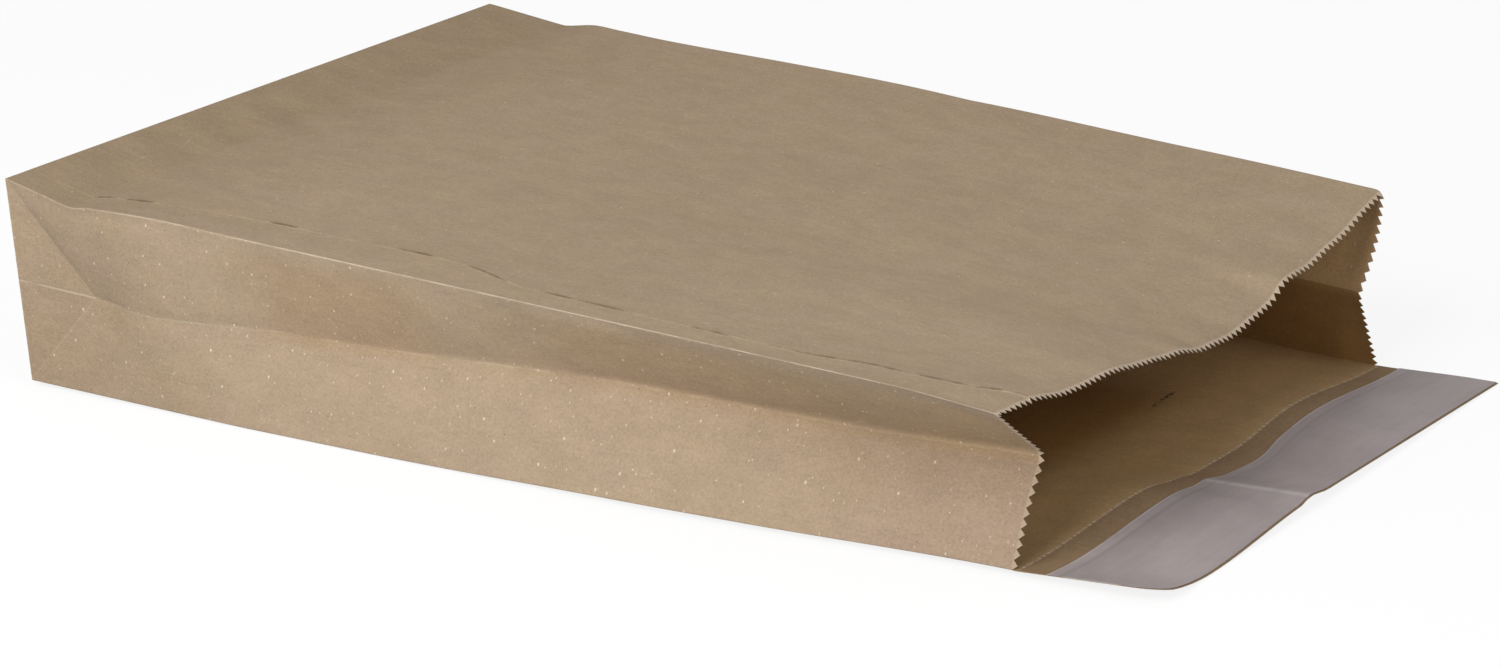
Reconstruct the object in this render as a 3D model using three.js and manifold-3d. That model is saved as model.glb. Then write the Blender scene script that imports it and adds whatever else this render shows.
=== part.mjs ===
// Paper mailing bag: one kraft sheet folded and glued into a gusseted tube with a block base,
// a pinked mouth and a long lip that carries a self-seal strip under a release liner.
// Millimetres, +Z up. The bag lies on its back panel, mouth towards +X, near side towards -Y.
import * as THREE from 'three';
import { mergeVertices } from 'three/addons/utils/BufferGeometryUtils.js';
import Module from 'manifold-3d';

// The sheet and the tube folded from it
const PAPER = 0.2;
const WIDTH = 300;
const LENGTH = 430;
const GUSSET = 80;

// Lap seam along the front panel: free edge of the sheet and the glued width behind it
const SEAM_INSET = 18;
const SEAM_LAP = 18;
const SEAM_STEP = 0.5;

// Block base: two flaps folded over the gusset triangles, lapped and glued
const FLAP_LAP = 20;
const FLAP_INSET = 0.6;

// Pinked edge of the mouth
const TOOTH_PITCH = 3.5;
const TOOTH_DEPTH = 2;
const TOOTH_ROOT = 8;

// Lip and the layers on it, measured back from the lip's cut edge
const LIP = 52.3;
const LIP_SKEW = 6.6;
const LINER_MARGIN = 1.5;
const LINER_WIDTH = 42;
const LINER_THICKNESS = 0.08;
const ADHESIVE_INSET = 7;
const ADHESIVE_THICKNESS = 0.06;
const LAYER_GAP = 0.05;

// How the opened bag stands: where the base triangles end, and the loss of gusset height
// where it is folded in, near and far side
const CREASE_AT = { near: 29, far: 40 };
const CREASE_DROP = { near: 6.8, far: 3.3 };
const SHOULDER_DROP = { near: 4.5, far: 0.2 };
const MOUTH_DROP = { near: 18.2, far: 13.2 };
const SHOULDER_AT = 66;
const SHOULDER_CURVE = { near: 1, far: 2.3 };
const BASE_FOLD_DEPTH = 0.62;

// Along the near gusset: its middle fold dips beside the base and rises further on, and its
// bottom fold arches off the surface, with the back panel up to a share of the width
const FOLD_DIP = { height: 4.9, centre: 60, before: 36, after: 57 };
const FOLD_RISE = { height: 3.9, centre: 276, before: 160, after: 160 };
const BACK_ARCH = { height: 2, centre: 304, before: 150, after: 130 };
const ARCH_SHARE = 0.45;

// The base is turned a little: raised along an oblique crease, leaning out and out of square
const HEEL_LIFT = { near: 1.7, far: 11.6 };
const HEEL_REACH = { near: 98, far: 240 };
const BASE_LEAN = 7.5;
const BASE_SKEW = 9.4;

// Slack of the front panel, deepest at the mouth, with a bump beside the deepest line
const SAG_DEPTH = 21.5;
const SAG_PLACE = 0.57;
const SAG_ROUNDING = 0.24;
const SAG_CURVE = 2;
const SAG_BUMP = { height: 3.9, centre: -53, before: 55, after: 50 };

// How far the folds at the mouth are drawn in across the bag, and the front panel's edge back
const FRONT_PULL = { near: -1.9, far: 4.3 };
const BACK_PULL = { near: 9.2, far: 9.1 };
const PULL_REACH = 160;
const MOUTH_LEAN = { near: 0.4, far: 3.2 };

// Waves of the back panel at the mouth, and of the lip beyond it, across the width
const NEAR_WAVE = { height: 5.1, centre: -58, before: 92, after: 46 };
const FAR_WAVE = { height: 4.4, centre: 70, before: 55, after: 78 };
const WAVE_REACH = 110;
const MOUTH_CORNER = { height: 2.1, width: 75 };
const LIP_RISE = { height: 4.4, from: -105, to: -30, fall: 4.3 };
const LIP_CORNER = { height: 5.5, width: 42 };

// Facets
const PANEL_COLUMNS = 14;
const GUSSET_ROWS = 8;
const BODY_STEPS = 11;

// Share of a fold's normals below which a direction is left out of the paper's inward step
const THIN_DIRECTION = 0.01;

const { lerp, clamp, smoothstep } = THREE.MathUtils;
const sides = (pair, v) => lerp(pair.near, pair.far, v);
const acrossY = (v) => (v - 0.5) * WIDTH;
const foldRows = GUSSET_ROWS / 2;

// Shape of the opened bag. s runs from the base to the mouth, v across from near (0) to far (1),
// and g down a gusset from its top fold (0) to its bottom fold (GUSSET).

const heelFade = (s, v) => Math.max(0, 1 - s / sides(HEEL_REACH, v));
const creaseAt = (v) => sides(CREASE_AT, v);
const lipEnd = (v) => LENGTH + LIP + LIP_SKEW * (0.5 - v);
const slackAlong = (s) => clamp((s - SHOULDER_AT) / (LENGTH - SHOULDER_AT), 0, 1);

// Distance between the top and the bottom fold of a gusset at one station
function standingHeight(s, v) {
  const crease = creaseAt(v);
  const creaseHeight = GUSSET - sides(CREASE_DROP, v);
  const shoulderHeight = GUSSET - sides(SHOULDER_DROP, v);
  const mouthHeight = GUSSET - sides(MOUTH_DROP, v);
  if (s < crease) return lerp(GUSSET, creaseHeight, s / crease);
  if (s < SHOULDER_AT) return lerp(creaseHeight, shoulderHeight, (s - crease) / (SHOULDER_AT - crease));
  return lerp(shoulderHeight, mouthHeight, slackAlong(s) ** sides(SHOULDER_CURVE, v));
}

// A rounded tent across the front panel: 0 at both folds, 1 at the deepest line
function sagAcross(v) {
  const reach = v < SAG_PLACE ? SAG_PLACE : 1 - SAG_PLACE;
  const away = (v - SAG_PLACE) / reach;
  const round = (d) => Math.hypot(d, SAG_ROUNDING) - SAG_ROUNDING;
  return 1 - round(away) / round(1);
}

// A cosine hump along or across the bag, with its own reach on each side of its crest
function hump(place, wave) {
  const reach = place < wave.centre ? wave.before : wave.after;
  const away = Math.min(1, Math.abs(place - wave.centre) / reach);
  return wave.height * 0.5 * (1 + Math.cos(Math.PI * away));
}

const mouthWave = (y) => hump(y, NEAR_WAVE) + hump(y, FAR_WAVE);

// A corner's height at the near edge, easing to 0 at its width from there
const nearCorner = (y, corner) => corner.height * clamp(1 - (y + WIDTH / 2) / corner.width, 0, 1) ** 2;

function lipWave(y) {
  const beyond = clamp((y - LIP_RISE.to) / (WIDTH / 2 - LIP_RISE.to), 0, 1);
  const rise = (LIP_RISE.height - LIP_RISE.fall * beyond) * smoothstep(y, LIP_RISE.from, LIP_RISE.to);
  return rise + nearCorner(y, LIP_CORNER);
}

// Back panel and lip
function bottomPoint(s, v) {
  const fade = heelFade(s, v);
  const y = acrossY(v);
  const alongLip = clamp((s - LENGTH) / (lipEnd(v) - LENGTH), 0, 1);
  const nearMouth = smoothstep(s, LENGTH - WAVE_REACH, LENGTH);
  const wave = nearMouth * lerp(mouthWave(y) + nearCorner(y, MOUTH_CORNER), lipWave(y), alongLip);
  const arch = hump(s, BACK_ARCH) * Math.max(0, 1 - v / ARCH_SHARE) ** 2;
  const drawn = smoothstep(s, LENGTH - PULL_REACH, LENGTH) * (1 - 2 * v);
  const pull = drawn * (v < 0.5 ? BACK_PULL.near : BACK_PULL.far);
  const x = s - BASE_SKEW * (0.5 - v) * fade;
  return new THREE.Vector3(x, y + pull, sides(HEEL_LIFT, v) * fade + wave + arch);
}

// Front panel
function topPoint(s, v) {
  const fade = heelFade(s, v);
  const slack = slackAlong(s) ** SAG_CURVE;
  const folds = sides(HEEL_LIFT, v) * fade + standingHeight(s, v);
  const x = s - (BASE_LEAN + BASE_SKEW * (0.5 - v)) * fade - sides(MOUTH_LEAN, v) * slack;
  const y = acrossY(v) + slack * lerp(FRONT_PULL.near, -FRONT_PULL.far, v);
  const bump = slack ** 2 * hump(acrossY(v), SAG_BUMP);
  return new THREE.Vector3(x, y, folds - SAG_DEPTH * slack * sagAcross(v) + bump);
}

// Middle fold of a gusset. At the mouth both halves keep their width, so it moves in as the folds
// come together; towards the base it moves in by a smaller share
function middlePoint(s, v) {
  const top = topPoint(s, v);
  const bottom = bottomPoint(s, v);
  const span = Math.hypot(top.y - bottom.y, top.z - bottom.z);
  const fullDepth = Math.sqrt(Math.max(0, GUSSET ** 2 - span ** 2)) / 2;
  const depth = fullDepth * lerp(BASE_FOLD_DEPTH, 1, slackAlong(s));
  const inward = v < 0.5 ? depth / span : -depth / span;
  const middle = top.clone().add(bottom).multiplyScalar(0.5);
  middle.y += (top.z - bottom.z) * inward;
  middle.z -= (top.y - bottom.y) * inward;
  middle.z += (1 - v) * (hump(s, FOLD_RISE) - hump(s, FOLD_DIP));
  return middle;
}

// A gusset. Up to the base crease it is a flat triangle on the base edge between two flat flanks
function gussetPoint(s, g, v) {
  const half = GUSSET / 2;
  const upper = g <= half;
  const toFold = upper ? g / half : (GUSSET - g) / half;
  const edgePoint = upper ? topPoint : bottomPoint;
  const crease = creaseAt(v);
  if (s >= crease) return edgePoint(s, v).lerp(middlePoint(s, v), toFold);
  const along = s / crease;
  const apex = middlePoint(crease, v);
  if (toFold <= along) {
    const start = edgePoint(0, v);
    const shoulder = edgePoint(crease, v);
    const point = start.lerp(shoulder, along);
    return point.addScaledVector(apex.sub(edgePoint(crease, v)), toFold);
  }
  const baseMiddle = topPoint(0, v).add(bottomPoint(0, v)).multiplyScalar(0.5);
  const onBase = topPoint(0, v).lerp(bottomPoint(0, v), g / GUSSET);
  return onBase.addScaledVector(apex.sub(baseMiddle), along);
}

// Columns across the panels, with close pairs where the seam's two edges step by one paper
function panelColumns() {
  const seamEdge = SEAM_INSET;
  const lapEdge = SEAM_INSET + SEAM_LAP;
  const columns = [0, seamEdge, seamEdge + SEAM_STEP, lapEdge, lapEdge + SEAM_STEP];
  const first = lapEdge + SEAM_STEP;
  for (let i = 1; i <= PANEL_COLUMNS; i++) columns.push(lerp(first, WIDTH, i / PANEL_COLUMNS));
  return columns.map((across) => across / WIDTH);
}

const columns = panelColumns();
const gussetRows = Array.from({ length: GUSSET_ROWS + 1 }, (_, i) => (GUSSET * i) / GUSSET_ROWS);
const innerRows = gussetRows.slice(1, -1);
const outerLift = (v) => (v * WIDTH > SEAM_INSET + SEAM_STEP / 2 ? PAPER : 0);
const innerLift = (v) => (v * WIDTH > SEAM_INSET + SEAM_LAP + SEAM_STEP / 2 ? PAPER : 0);

// One side of the sheet: points, the layers that lie on them, and triangles that face out of the bag
class Sheet {
  constructor() {
    this.points = [];
    this.outer = [];
    this.inner = [];
    this.triangles = [];
  }

  add(point, outer = 0, inner = 0) {
    this.points.push(point);
    this.outer.push(outer);
    this.inner.push(inner);
    return this.points.length - 1;
  }

  top(s, v) {
    return this.add(topPoint(s, v), outerLift(v), innerLift(v));
  }

  nearGusset(s, g) {
    return this.add(gussetPoint(s, g, 0));
  }

  // The far gusset hangs from the front panel, so its lift fades out towards its bottom fold
  farGusset(s, g) {
    const lift = PAPER * (1 - g / GUSSET);
    return this.add(gussetPoint(s, g, 1), lift, lift);
  }

  quad(a, b, c, d, acrossBD = false) {
    if (acrossBD) this.triangles.push([a, b, d], [b, c, d]);
    else this.triangles.push([a, b, c], [a, c, d]);
  }

  // Joins two rows of { index, q } that run the same way, whatever their numbers of points
  zip(first, second) {
    let i = 0;
    let j = 0;
    while (i < first.length - 1 || j < second.length - 1) {
      const stepFirst = j === second.length - 1
        || (i < first.length - 1 && first[i + 1].q <= second[j + 1].q);
      const from = first[i].index;
      const to = second[j].index;
      if (stepFirst) this.triangles.push([from, to, first[++i].index]);
      else this.triangles.push([from, to, second[++j].index]);
    }
  }
}

// The ring of points round the tube at one station, from the near bottom fold and round the far side
function addRing(sheet, station) {
  const bottom = columns.map((v) => sheet.add(bottomPoint(station(v), v)));
  const far = innerRows.toReversed().map((g) => sheet.farGusset(station(1), g));
  const top = columns.toReversed().map((v) => sheet.top(station(v), v));
  const near = innerRows.map((g) => sheet.nearGusset(station(0), g));
  return { bottom, far, top, near };
}

const ringPath = (ring) => [...ring.bottom, ...ring.far, ...ring.top, ...ring.near, ring.bottom[0]];

// The far gusset's upper half and the near gusset's lower half are split the other way, so that
// the edges follow the creases of the base triangles
function splitAcross(i) {
  const farStart = columns.length - 1;
  const topStart = farStart + GUSSET_ROWS;
  const nearStart = topStart + columns.length - 1;
  const onFar = i >= farStart && i < topStart;
  const farUpper = onFar && i >= farStart + foldRows;
  const nearLower = i >= nearStart + foldRows;
  return farUpper || nearLower;
}

function addTube(sheet) {
  const stations = [];
  for (let i = 0; i <= foldRows; i++) stations.push((v) => (creaseAt(v) * i) / foldRows);
  const last = LENGTH - TOOTH_ROOT;
  for (let i = 0; i <= BODY_STEPS; i++) stations.push(() => lerp(SHOULDER_AT, last, i / BODY_STEPS));
  const rings = stations.map((station) => addRing(sheet, station));
  for (let k = 0; k + 1 < rings.length; k++) {
    const here = ringPath(rings[k]);
    const next = ringPath(rings[k + 1]);
    for (let i = 0; i + 1 < here.length; i++) {
      sheet.quad(here[i], here[i + 1], next[i + 1], next[i], splitAcross(i));
    }
  }
  return rings;
}

// Flat wall across the base, on the first ring
function addBase(sheet, ring) {
  const near = [ring.top.at(-1), ...ring.near, ring.bottom[0]];
  const far = [ring.top[0], ...ring.far.toReversed(), ring.bottom.at(-1)];
  const rows = gussetRows.map((g, row) => {
    if (row === 0) return ring.top.toReversed();
    if (row === GUSSET_ROWS) return ring.bottom;
    return columns.map((v, i) => {
      if (i === 0) return near[row];
      if (i === columns.length - 1) return far[row];
      const fromTop = 1 - g / GUSSET;
      const point = topPoint(0, v).lerp(bottomPoint(0, v), g / GUSSET);
      return sheet.add(point, outerLift(v) * fromTop, innerLift(v) * fromTop);
    });
  });
  for (let row = 0; row < GUSSET_ROWS; row++) {
    for (let i = 0; i + 1 < columns.length; i++) {
      sheet.quad(rows[row][i], rows[row][i + 1], rows[row + 1][i + 1], rows[row + 1][i]);
    }
  }
}

// Teeth along one straight run of the mouth, from a root to a root
function addTeeth(edge, length, q, place) {
  const teeth = Math.max(1, Math.round(length / TOOTH_PITCH));
  for (let i = edge.length ? 1 : 0; i <= 2 * teeth; i++) {
    const t = i / (2 * teeth);
    const s = i % 2 ? LENGTH : LENGTH - TOOTH_DEPTH;
    edge.push({ index: place(s, t), q: q + t * length });
  }
}

// The pinked strip round both gussets and the front panel, from the far bottom fold to the near one
function addPinkedEdge(sheet, ring) {
  const half = GUSSET / 2;
  const edge = [];
  const far = (from) => (s, t) => sheet.farGusset(s, from - t * half);
  const near = (from) => (s, t) => sheet.nearGusset(s, from + t * half);
  addTeeth(edge, half, 0, far(GUSSET));
  addTeeth(edge, half, half, far(half));
  addTeeth(edge, WIDTH, GUSSET, (s, t) => sheet.top(s, 1 - t));
  addTeeth(edge, half, GUSSET + WIDTH, near(0));
  addTeeth(edge, half, GUSSET + WIDTH + half, near(half));
  const root = [];
  const farSide = [ring.bottom.at(-1), ...ring.far];
  farSide.forEach((index, i) => root.push({ index, q: gussetRows[i] }));
  ring.top.forEach((index, i) => root.push({ index, q: GUSSET + WIDTH * (1 - columns.at(-1 - i)) }));
  const nearSide = [...ring.near, ring.bottom[0]];
  nearSide.forEach((index, i) => root.push({ index, q: GUSSET + WIDTH + gussetRows[i + 1] }));
  sheet.zip(edge, root);
  return edge;
}

// Rows of the lip: its root, the score line, both edges of each layer on it, and its cut edge
const linerInner = (v) => lipEnd(v) - LINER_MARGIN - LINER_WIDTH;
const linerOuter = (v) => lipEnd(v) - LINER_MARGIN;
const lipRows = [
  () => LENGTH,
  linerInner,
  (v) => linerInner(v) + ADHESIVE_INSET,
  (v) => lerp(linerInner(v), linerOuter(v), 0.5),
  (v) => linerOuter(v) - ADHESIVE_INSET,
  linerOuter,
  lipEnd,
];
const LINER_ROWS = [1, 5];
const ADHESIVE_ROWS = [2, 4];

function addLip(sheet, ring, edge) {
  const root = columns.map((v, i) => {
    if (i === 0) return edge.at(-1).index;
    if (i === columns.length - 1) return edge[0].index;
    return sheet.add(bottomPoint(LENGTH - TOOTH_DEPTH, v));
  });
  const rows = [ring.bottom, root];
  for (const row of lipRows) rows.push(columns.map((v) => sheet.add(bottomPoint(row(v), v))));
  for (let k = 0; k + 1 < rows.length; k++) {
    for (let i = 0; i + 1 < columns.length; i++) {
      sheet.quad(rows[k][i], rows[k][i + 1], rows[k + 1][i + 1], rows[k + 1][i]);
    }
  }
}

// Step from a point of the sheet to its inner side that keeps the paper's thickness at every fold
function inwardStep(normals) {
  const spread = new Array(6).fill(0);
  const pull = new THREE.Vector3();
  for (const n of normals) {
    const products = [n.x * n.x, n.x * n.y, n.x * n.z, n.y * n.y, n.y * n.z, n.z * n.z];
    products.forEach((product, k) => {
      spread[k] += product;
    });
    pull.addScaledVector(n, -PAPER);
  }
  const slack = THIN_DIRECTION * normals.length;
  const [xx, xy, xz, yy, yz, zz] = spread;
  const matrix = new THREE.Matrix3().set(xx + slack, xy, xz, xy, yy + slack, yz, xz, yz, zz + slack);
  return pull.applyMatrix3(matrix.invert());
}

// Gives the sheet its thickness: an outer and an inner face, joined by a rim along the free edges
function thicken(sheet) {
  const normals = sheet.points.map(() => []);
  const edges = new Map();
  for (const triangle of sheet.triangles) {
    const [a, b, c] = triangle.map((i) => sheet.points[i]);
    const normal = b.clone().sub(a).cross(c.clone().sub(a)).normalize();
    triangle.forEach((from, k) => {
      const to = triangle[(k + 1) % 3];
      normals[from].push(normal);
      if (!edges.delete(`${to} ${from}`)) edges.set(`${from} ${to}`, [from, to]);
    });
  }
  const count = sheet.points.length;
  const lifted = (point, lift) => point.clone().setZ(point.z + lift);
  const outside = sheet.points.map((point, i) => lifted(point, sheet.outer[i]));
  const inside = sheet.points.map((point, i) => lifted(point, sheet.inner[i]).add(inwardStep(normals[i])));
  const triangles = [...sheet.triangles];
  for (const [a, b, c] of sheet.triangles) triangles.push([a + count, c + count, b + count]);
  for (const [from, to] of edges.values()) {
    triangles.push([to, from, from + count], [to, from + count, to + count]);
  }
  return indexedGeometry([...outside, ...inside], triangles);
}

function indexedGeometry(points, triangles) {
  const geometry = new THREE.BufferGeometry().setFromPoints(points);
  return geometry.setIndex(triangles.flat());
}

// A closed strip that lies on the lip between two of its rows
function lipLayer(rowRange, height, thickness) {
  const rows = lipRows.slice(rowRange[0], rowRange[1] + 1);
  const wide = columns.length;
  const face = (lift) => rows.flatMap((row) => columns.map((v) => {
    const point = bottomPoint(row(v), v);
    return point.setZ(point.z + PAPER + lift);
  }));
  const points = [...face(height), ...face(height + thickness)];
  const upper = rows.length * wide;
  const triangles = [];
  const quad = (a, b, c, d) => triangles.push([a, b, c], [a, c, d]);
  for (let k = 0; k + 1 < rows.length; k++) {
    for (let i = 0; i + 1 < wide; i++) {
      const a = k * wide + i;
      quad(a, a + 1, a + wide + 1, a + wide);
      triangles.push([a + upper, a + upper + wide + 1, a + upper + 1]);
      triangles.push([a + upper, a + upper + wide, a + upper + wide + 1]);
    }
    const near = k * wide;
    const far = near + wide - 1;
    quad(near, near + wide, near + wide + upper, near + upper);
    quad(far + wide, far, far + upper, far + wide + upper);
  }
  const lastRow = upper - wide;
  for (let i = 0; i + 1 < wide; i++) {
    quad(i + 1, i, i + upper, i + 1 + upper);
    quad(lastRow + i, lastRow + i + 1, lastRow + i + 1 + upper, lastRow + i + upper);
  }
  return indexedGeometry(points, triangles);
}

// A base flap: a trapezoid from one long fold of the base, with corners folded at 45 degrees
function baseFlap(fromTop, layers) {
  const depth = (GUSSET + FLAP_LAP) / 2;
  const corners = [
    [FLAP_INSET * 2, FLAP_INSET],
    [WIDTH - FLAP_INSET * 2, FLAP_INSET],
    [WIDTH - depth, depth],
    [depth, depth],
  ];
  const shape = new THREE.Shape(corners.map(([across, up]) => new THREE.Vector2(across, up)));
  const sink = PAPER / 2;
  const plate = new THREE.ExtrudeGeometry(shape, { depth: layers * PAPER + sink, bevelEnabled: false });
  plate.translate(0, 0, -sink);
  const corner = fromTop ? topPoint(0, 0) : bottomPoint(0, 1);
  const along = bottomPoint(0, 1).sub(bottomPoint(0, 0)).normalize();
  const up = topPoint(0, 0).sub(bottomPoint(0, 0)).normalize();
  if (fromTop) up.negate();
  else along.negate();
  const out = along.clone().cross(up);
  return plate.applyMatrix4(new THREE.Matrix4().makeBasis(along, up, out).setPosition(corner));
}

const wasm = await Module();
wasm.setup();

function solid(geometry) {
  const source = geometry.clone();
  source.deleteAttribute('normal');
  source.deleteAttribute('uv');
  const merged = mergeVertices(source);
  const vertProperties = new Float32Array(merged.attributes.position.array);
  const triVerts = new Uint32Array(merged.index.array);
  return new wasm.Manifold(new wasm.Mesh({ numProp: 3, vertProperties, triVerts }));
}

function geometryOf(manifold) {
  const mesh = manifold.getMesh();
  const geometry = new THREE.BufferGeometry();
  geometry.setAttribute('position', new THREE.BufferAttribute(mesh.vertProperties, 3));
  return geometry.setIndex(new THREE.BufferAttribute(mesh.triVerts, 1));
}

function bagBody() {
  const sheet = new Sheet();
  const rings = addTube(sheet);
  addBase(sheet, rings[0]);
  const edge = addPinkedEdge(sheet, rings.at(-1));
  addLip(sheet, rings.at(-1), edge);
  const body = solid(thicken(sheet));
  return geometryOf(body.add(solid(baseFlap(false, 1))).add(solid(baseFlap(true, 2))));
}

function part(name, geometry, color, roughness) {
  const material = new THREE.MeshStandardMaterial({ color, roughness, metalness: 0 });
  const mesh = new THREE.Mesh(geometry, material);
  mesh.name = name;
  return mesh;
}

const linerHeight = LAYER_GAP + ADHESIVE_THICKNESS + LAYER_GAP;
const bag = new THREE.Group();
bag.add(part('bag_body', bagBody(), 0xa98f70, 0.9));
bag.add(part('adhesive_strip', lipLayer(ADHESIVE_ROWS, LAYER_GAP, ADHESIVE_THICKNESS), 0xd9d2bf, 0.45));
bag.add(part('release_liner', lipLayer(LINER_ROWS, linerHeight, LINER_THICKNESS), 0x9d9593, 0.5));

// The origin is under the middle of the bag, on the surface that it lies on
const box = new THREE.Box3().setFromObject(bag, true);
const centre = box.getCenter(new THREE.Vector3());
bag.position.set(-centre.x, -centre.y, -box.min.z);
bag.updateMatrixWorld(true);

export default bag;
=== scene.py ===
"""Dresses the paper mailing bag: a finely folded kraft sheet, its liner and adhesive, and a studio."""

import math

import bpy
import numpy as np
from mathutils import Matrix, Vector


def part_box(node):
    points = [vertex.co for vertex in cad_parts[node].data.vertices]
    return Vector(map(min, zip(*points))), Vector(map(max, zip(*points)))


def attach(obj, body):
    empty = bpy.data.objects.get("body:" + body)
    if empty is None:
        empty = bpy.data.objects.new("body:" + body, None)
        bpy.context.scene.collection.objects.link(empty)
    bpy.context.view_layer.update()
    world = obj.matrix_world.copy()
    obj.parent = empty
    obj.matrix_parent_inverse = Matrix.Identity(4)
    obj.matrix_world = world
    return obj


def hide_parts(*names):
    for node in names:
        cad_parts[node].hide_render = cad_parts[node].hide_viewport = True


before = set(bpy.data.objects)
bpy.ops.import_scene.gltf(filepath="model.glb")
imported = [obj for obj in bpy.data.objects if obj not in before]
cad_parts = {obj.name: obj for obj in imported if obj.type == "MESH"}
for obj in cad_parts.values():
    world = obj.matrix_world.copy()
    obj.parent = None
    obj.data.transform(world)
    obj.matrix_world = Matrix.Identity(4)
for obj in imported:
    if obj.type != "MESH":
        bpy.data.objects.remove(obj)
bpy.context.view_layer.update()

MM = 0.001

# The sheet and the tube folded from it, in millimetres as in the CAD part; pairs are near and far side
PAPER = 0.2
WIDTH = 300.0
LENGTH = 430.0
GUSSET = 80.0
HALF_GUSSET = GUSSET / 2
FLAP_LAP = 20.0
TOOTH_PITCH = 3.5
TOOTH_DEPTH = 2.0
TOOTH_ROOT = 8.0
LIP = 52.3
LIP_SKEW = 6.6
LINER_MARGIN = 0.8
LINER_WIDTH = 43.1
LINER_TAPER = 3.6
LINER_THICKNESS = 0.08
ADHESIVE_INSET = 7.0
ADHESIVE_THICKNESS = 0.06
LAYER_GAP = 0.05
FLAP_GAP = 0.1

CREASE_AT = (28.0, 40.0)
KINK_AT = (30.0, 40.0)
KINK_DROP = (5.8, 3.3)
SHOULDER_DROP = (4.5, 0.2)
MOUTH_DROP = (17.2, 12.2)
SHOULDER_AT = 66.0
SHOULDER_CURVE = (1.0, 2.3)
SHOULDER_BLEND, BLEND_STEPS = 11.0, 7
BASE_FOLD_DEPTH = 0.62

HEEL_LIFT = (1.7, 11.6)
HEEL_REACH = (98.0, 240.0)
BASE_LEAN = 7.5
BASE_SKEW = 9.4
# Humps, here and below, have a height, a centre, and a reach before and after it
BACK_ARCH = (2.0, 304.0, 150.0, 130.0)
ARCH_SHARE = 0.45

SAG_DEPTH = 21.5
SAG_PLACE = 0.57
SAG_ROUNDING = 0.24
SAG_CURVE = 2
SAG_BUMP = (3.9, -53.0, 55.0, 50.0)
FRONT_PULL = (-1.9, 4.3)
BACK_PULL = (9.2, 9.1)
PULL_REACH = 160.0
FAR_CORNER_PULL, CORNER_BEFORE, CORNER_AFTER, CORNER_FADE = 3.0, 90.0, 40.0, 4
MOUTH_LEAN = (0.4, 3.2)
MOUTH_CURL, CURL_REACH = 2.0, 4.5
CURL_CORNER, CORNER_REACH, CORNER_CURVE = 0.06, 40.0, 1.3
MOUTH_RIPPLES = (
    (0.7, -122.0, 20.0, 20.0),
    (-1.2, -50.0, 24.0, 20.0),
    (1.6, -16.0, 16.0, 18.0),
    (-0.7, 24.0, 18.0, 18.0),
    (3.2, 67.0, 13.0, 24.0),
    (-1.1, 117.0, 18.0, 18.0),
)
RIPPLE_REACH = 45.0

NEAR_WAVE = (5.1, -58.0, 92.0, 46.0)
FAR_WAVE = (4.4, 70.0, 55.0, 78.0)
WAVE_REACH = 110.0
MOUTH_CORNER = (2.1, 75.0)
LIP_RISE, LIP_RISE_FROM, LIP_RISE_TO, LIP_FALL = 3.0, -105.0, -30.0, 2.9
LIP_CORNER = (5.5, 42.0)
LIP_CORNER_RADIUS, LIP_CORNER_SHARE = 11.0, 0.97
LIP_RIDGE, LIP_RIDGE_SPAN = (1.3, -27.0, 9.0, 16.0), (LENGTH - 10, LENGTH + 12)
LINER_BOW = (3.2, 9.0, 34.0, 32.0)

# The lap seam's free edge: distance from the near top fold at the base, and its shifts by, from and to
SEAM_INSET = 14.0
SEAM_SHIFTS = (
    (9.0, 20.0, 115.0),
    (-10.5, 180.0, 230.0),
    (5.0, 340.0, 374.0),
    (2.2, 374.0, 410.0),
    (4.5, 405.0, 422.0),
)
# Stretches where the seam stands open, as middle and half length, and the shares where they fade
SEAM_OPENINGS = ((34, 5), (48, 7), (107, 7), (167, 11), (204, 12), (252, 22), (305, 9), (378, 58))
OPENING_FADE = (0.5, 1.3)
SEAM_LIFT, SEAM_LIFT_REACH = 0.5, 5.0
SEAM_EDGE = 0.12
SEAM_START = (-1.0, 3.0)
SEAM_WARP_REACH = 60.0

# Creases and slack that only the fine sheet shows; sets of three are height, centre and reach
NEAR_NOTCH, NOTCH_FADE = (1.3, 30.0, 4.0), 6
FAR_STEP, FAR_STEP_START = (1.0, 55.0, 9.0), (0.0, 6.0)
FAR_RISE = (1.9, 225.0, 110.0, 120.0)
FAR_DIP = (0.8, 90.0, 40.0, 60.0)
FAR_FADE = 3
FOLD_DIP = (2.3, 44.5, 41.0, 72.0)
FOLD_FLAT = (0.8, 60.0, 28.0, 60.0)
FOLD_RISE = (4.4, 268.0, 160.0, 160.0)
FAR_FOLD_DROP, FAR_FOLD_SHALLOW, FAR_FOLD_REACH = 3.8, 0.19, 130.0
NEAR_FOLD_LIFT, NEAR_LIFT_REACH = 1.4, 60.0

# Relief of the front panel; noise is a seed and a length
RELIEF_MARGIN = 22.0
PUCKER_HEIGHT, PUCKER_PITCH, PUCKER_SLANT, PUCKER_SHARE = 0.32, 31.0, 0.4, 0.6
PUCKER_WANDER, PUCKER_WANDER_LENGTH = 1.1, 37.0
PUCKER_START, PUCKER_END = (1.0, 9.0), (2.0, 34.0)
PUCKER_NEAR, PUCKER_FAR, PUCKER_FAR_LOSS = (-140.0, -100.0), (20.0, 100.0), 0.75
PUCKER_NOISE = (5, 38)
PANEL_WAVES, PANEL_STRETCH, PANEL_NOISE = 0.7, 0.6, (3, 105)
PANEL_CALM = 60.0
MOUTH_CALM, MOUTH_CALM_SPAN = 0.8, (LENGTH - 60, LENGTH - 8)
WAVE_COUNT, WAVE_LENGTHS = 7, (0.7, 1.6)

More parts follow.
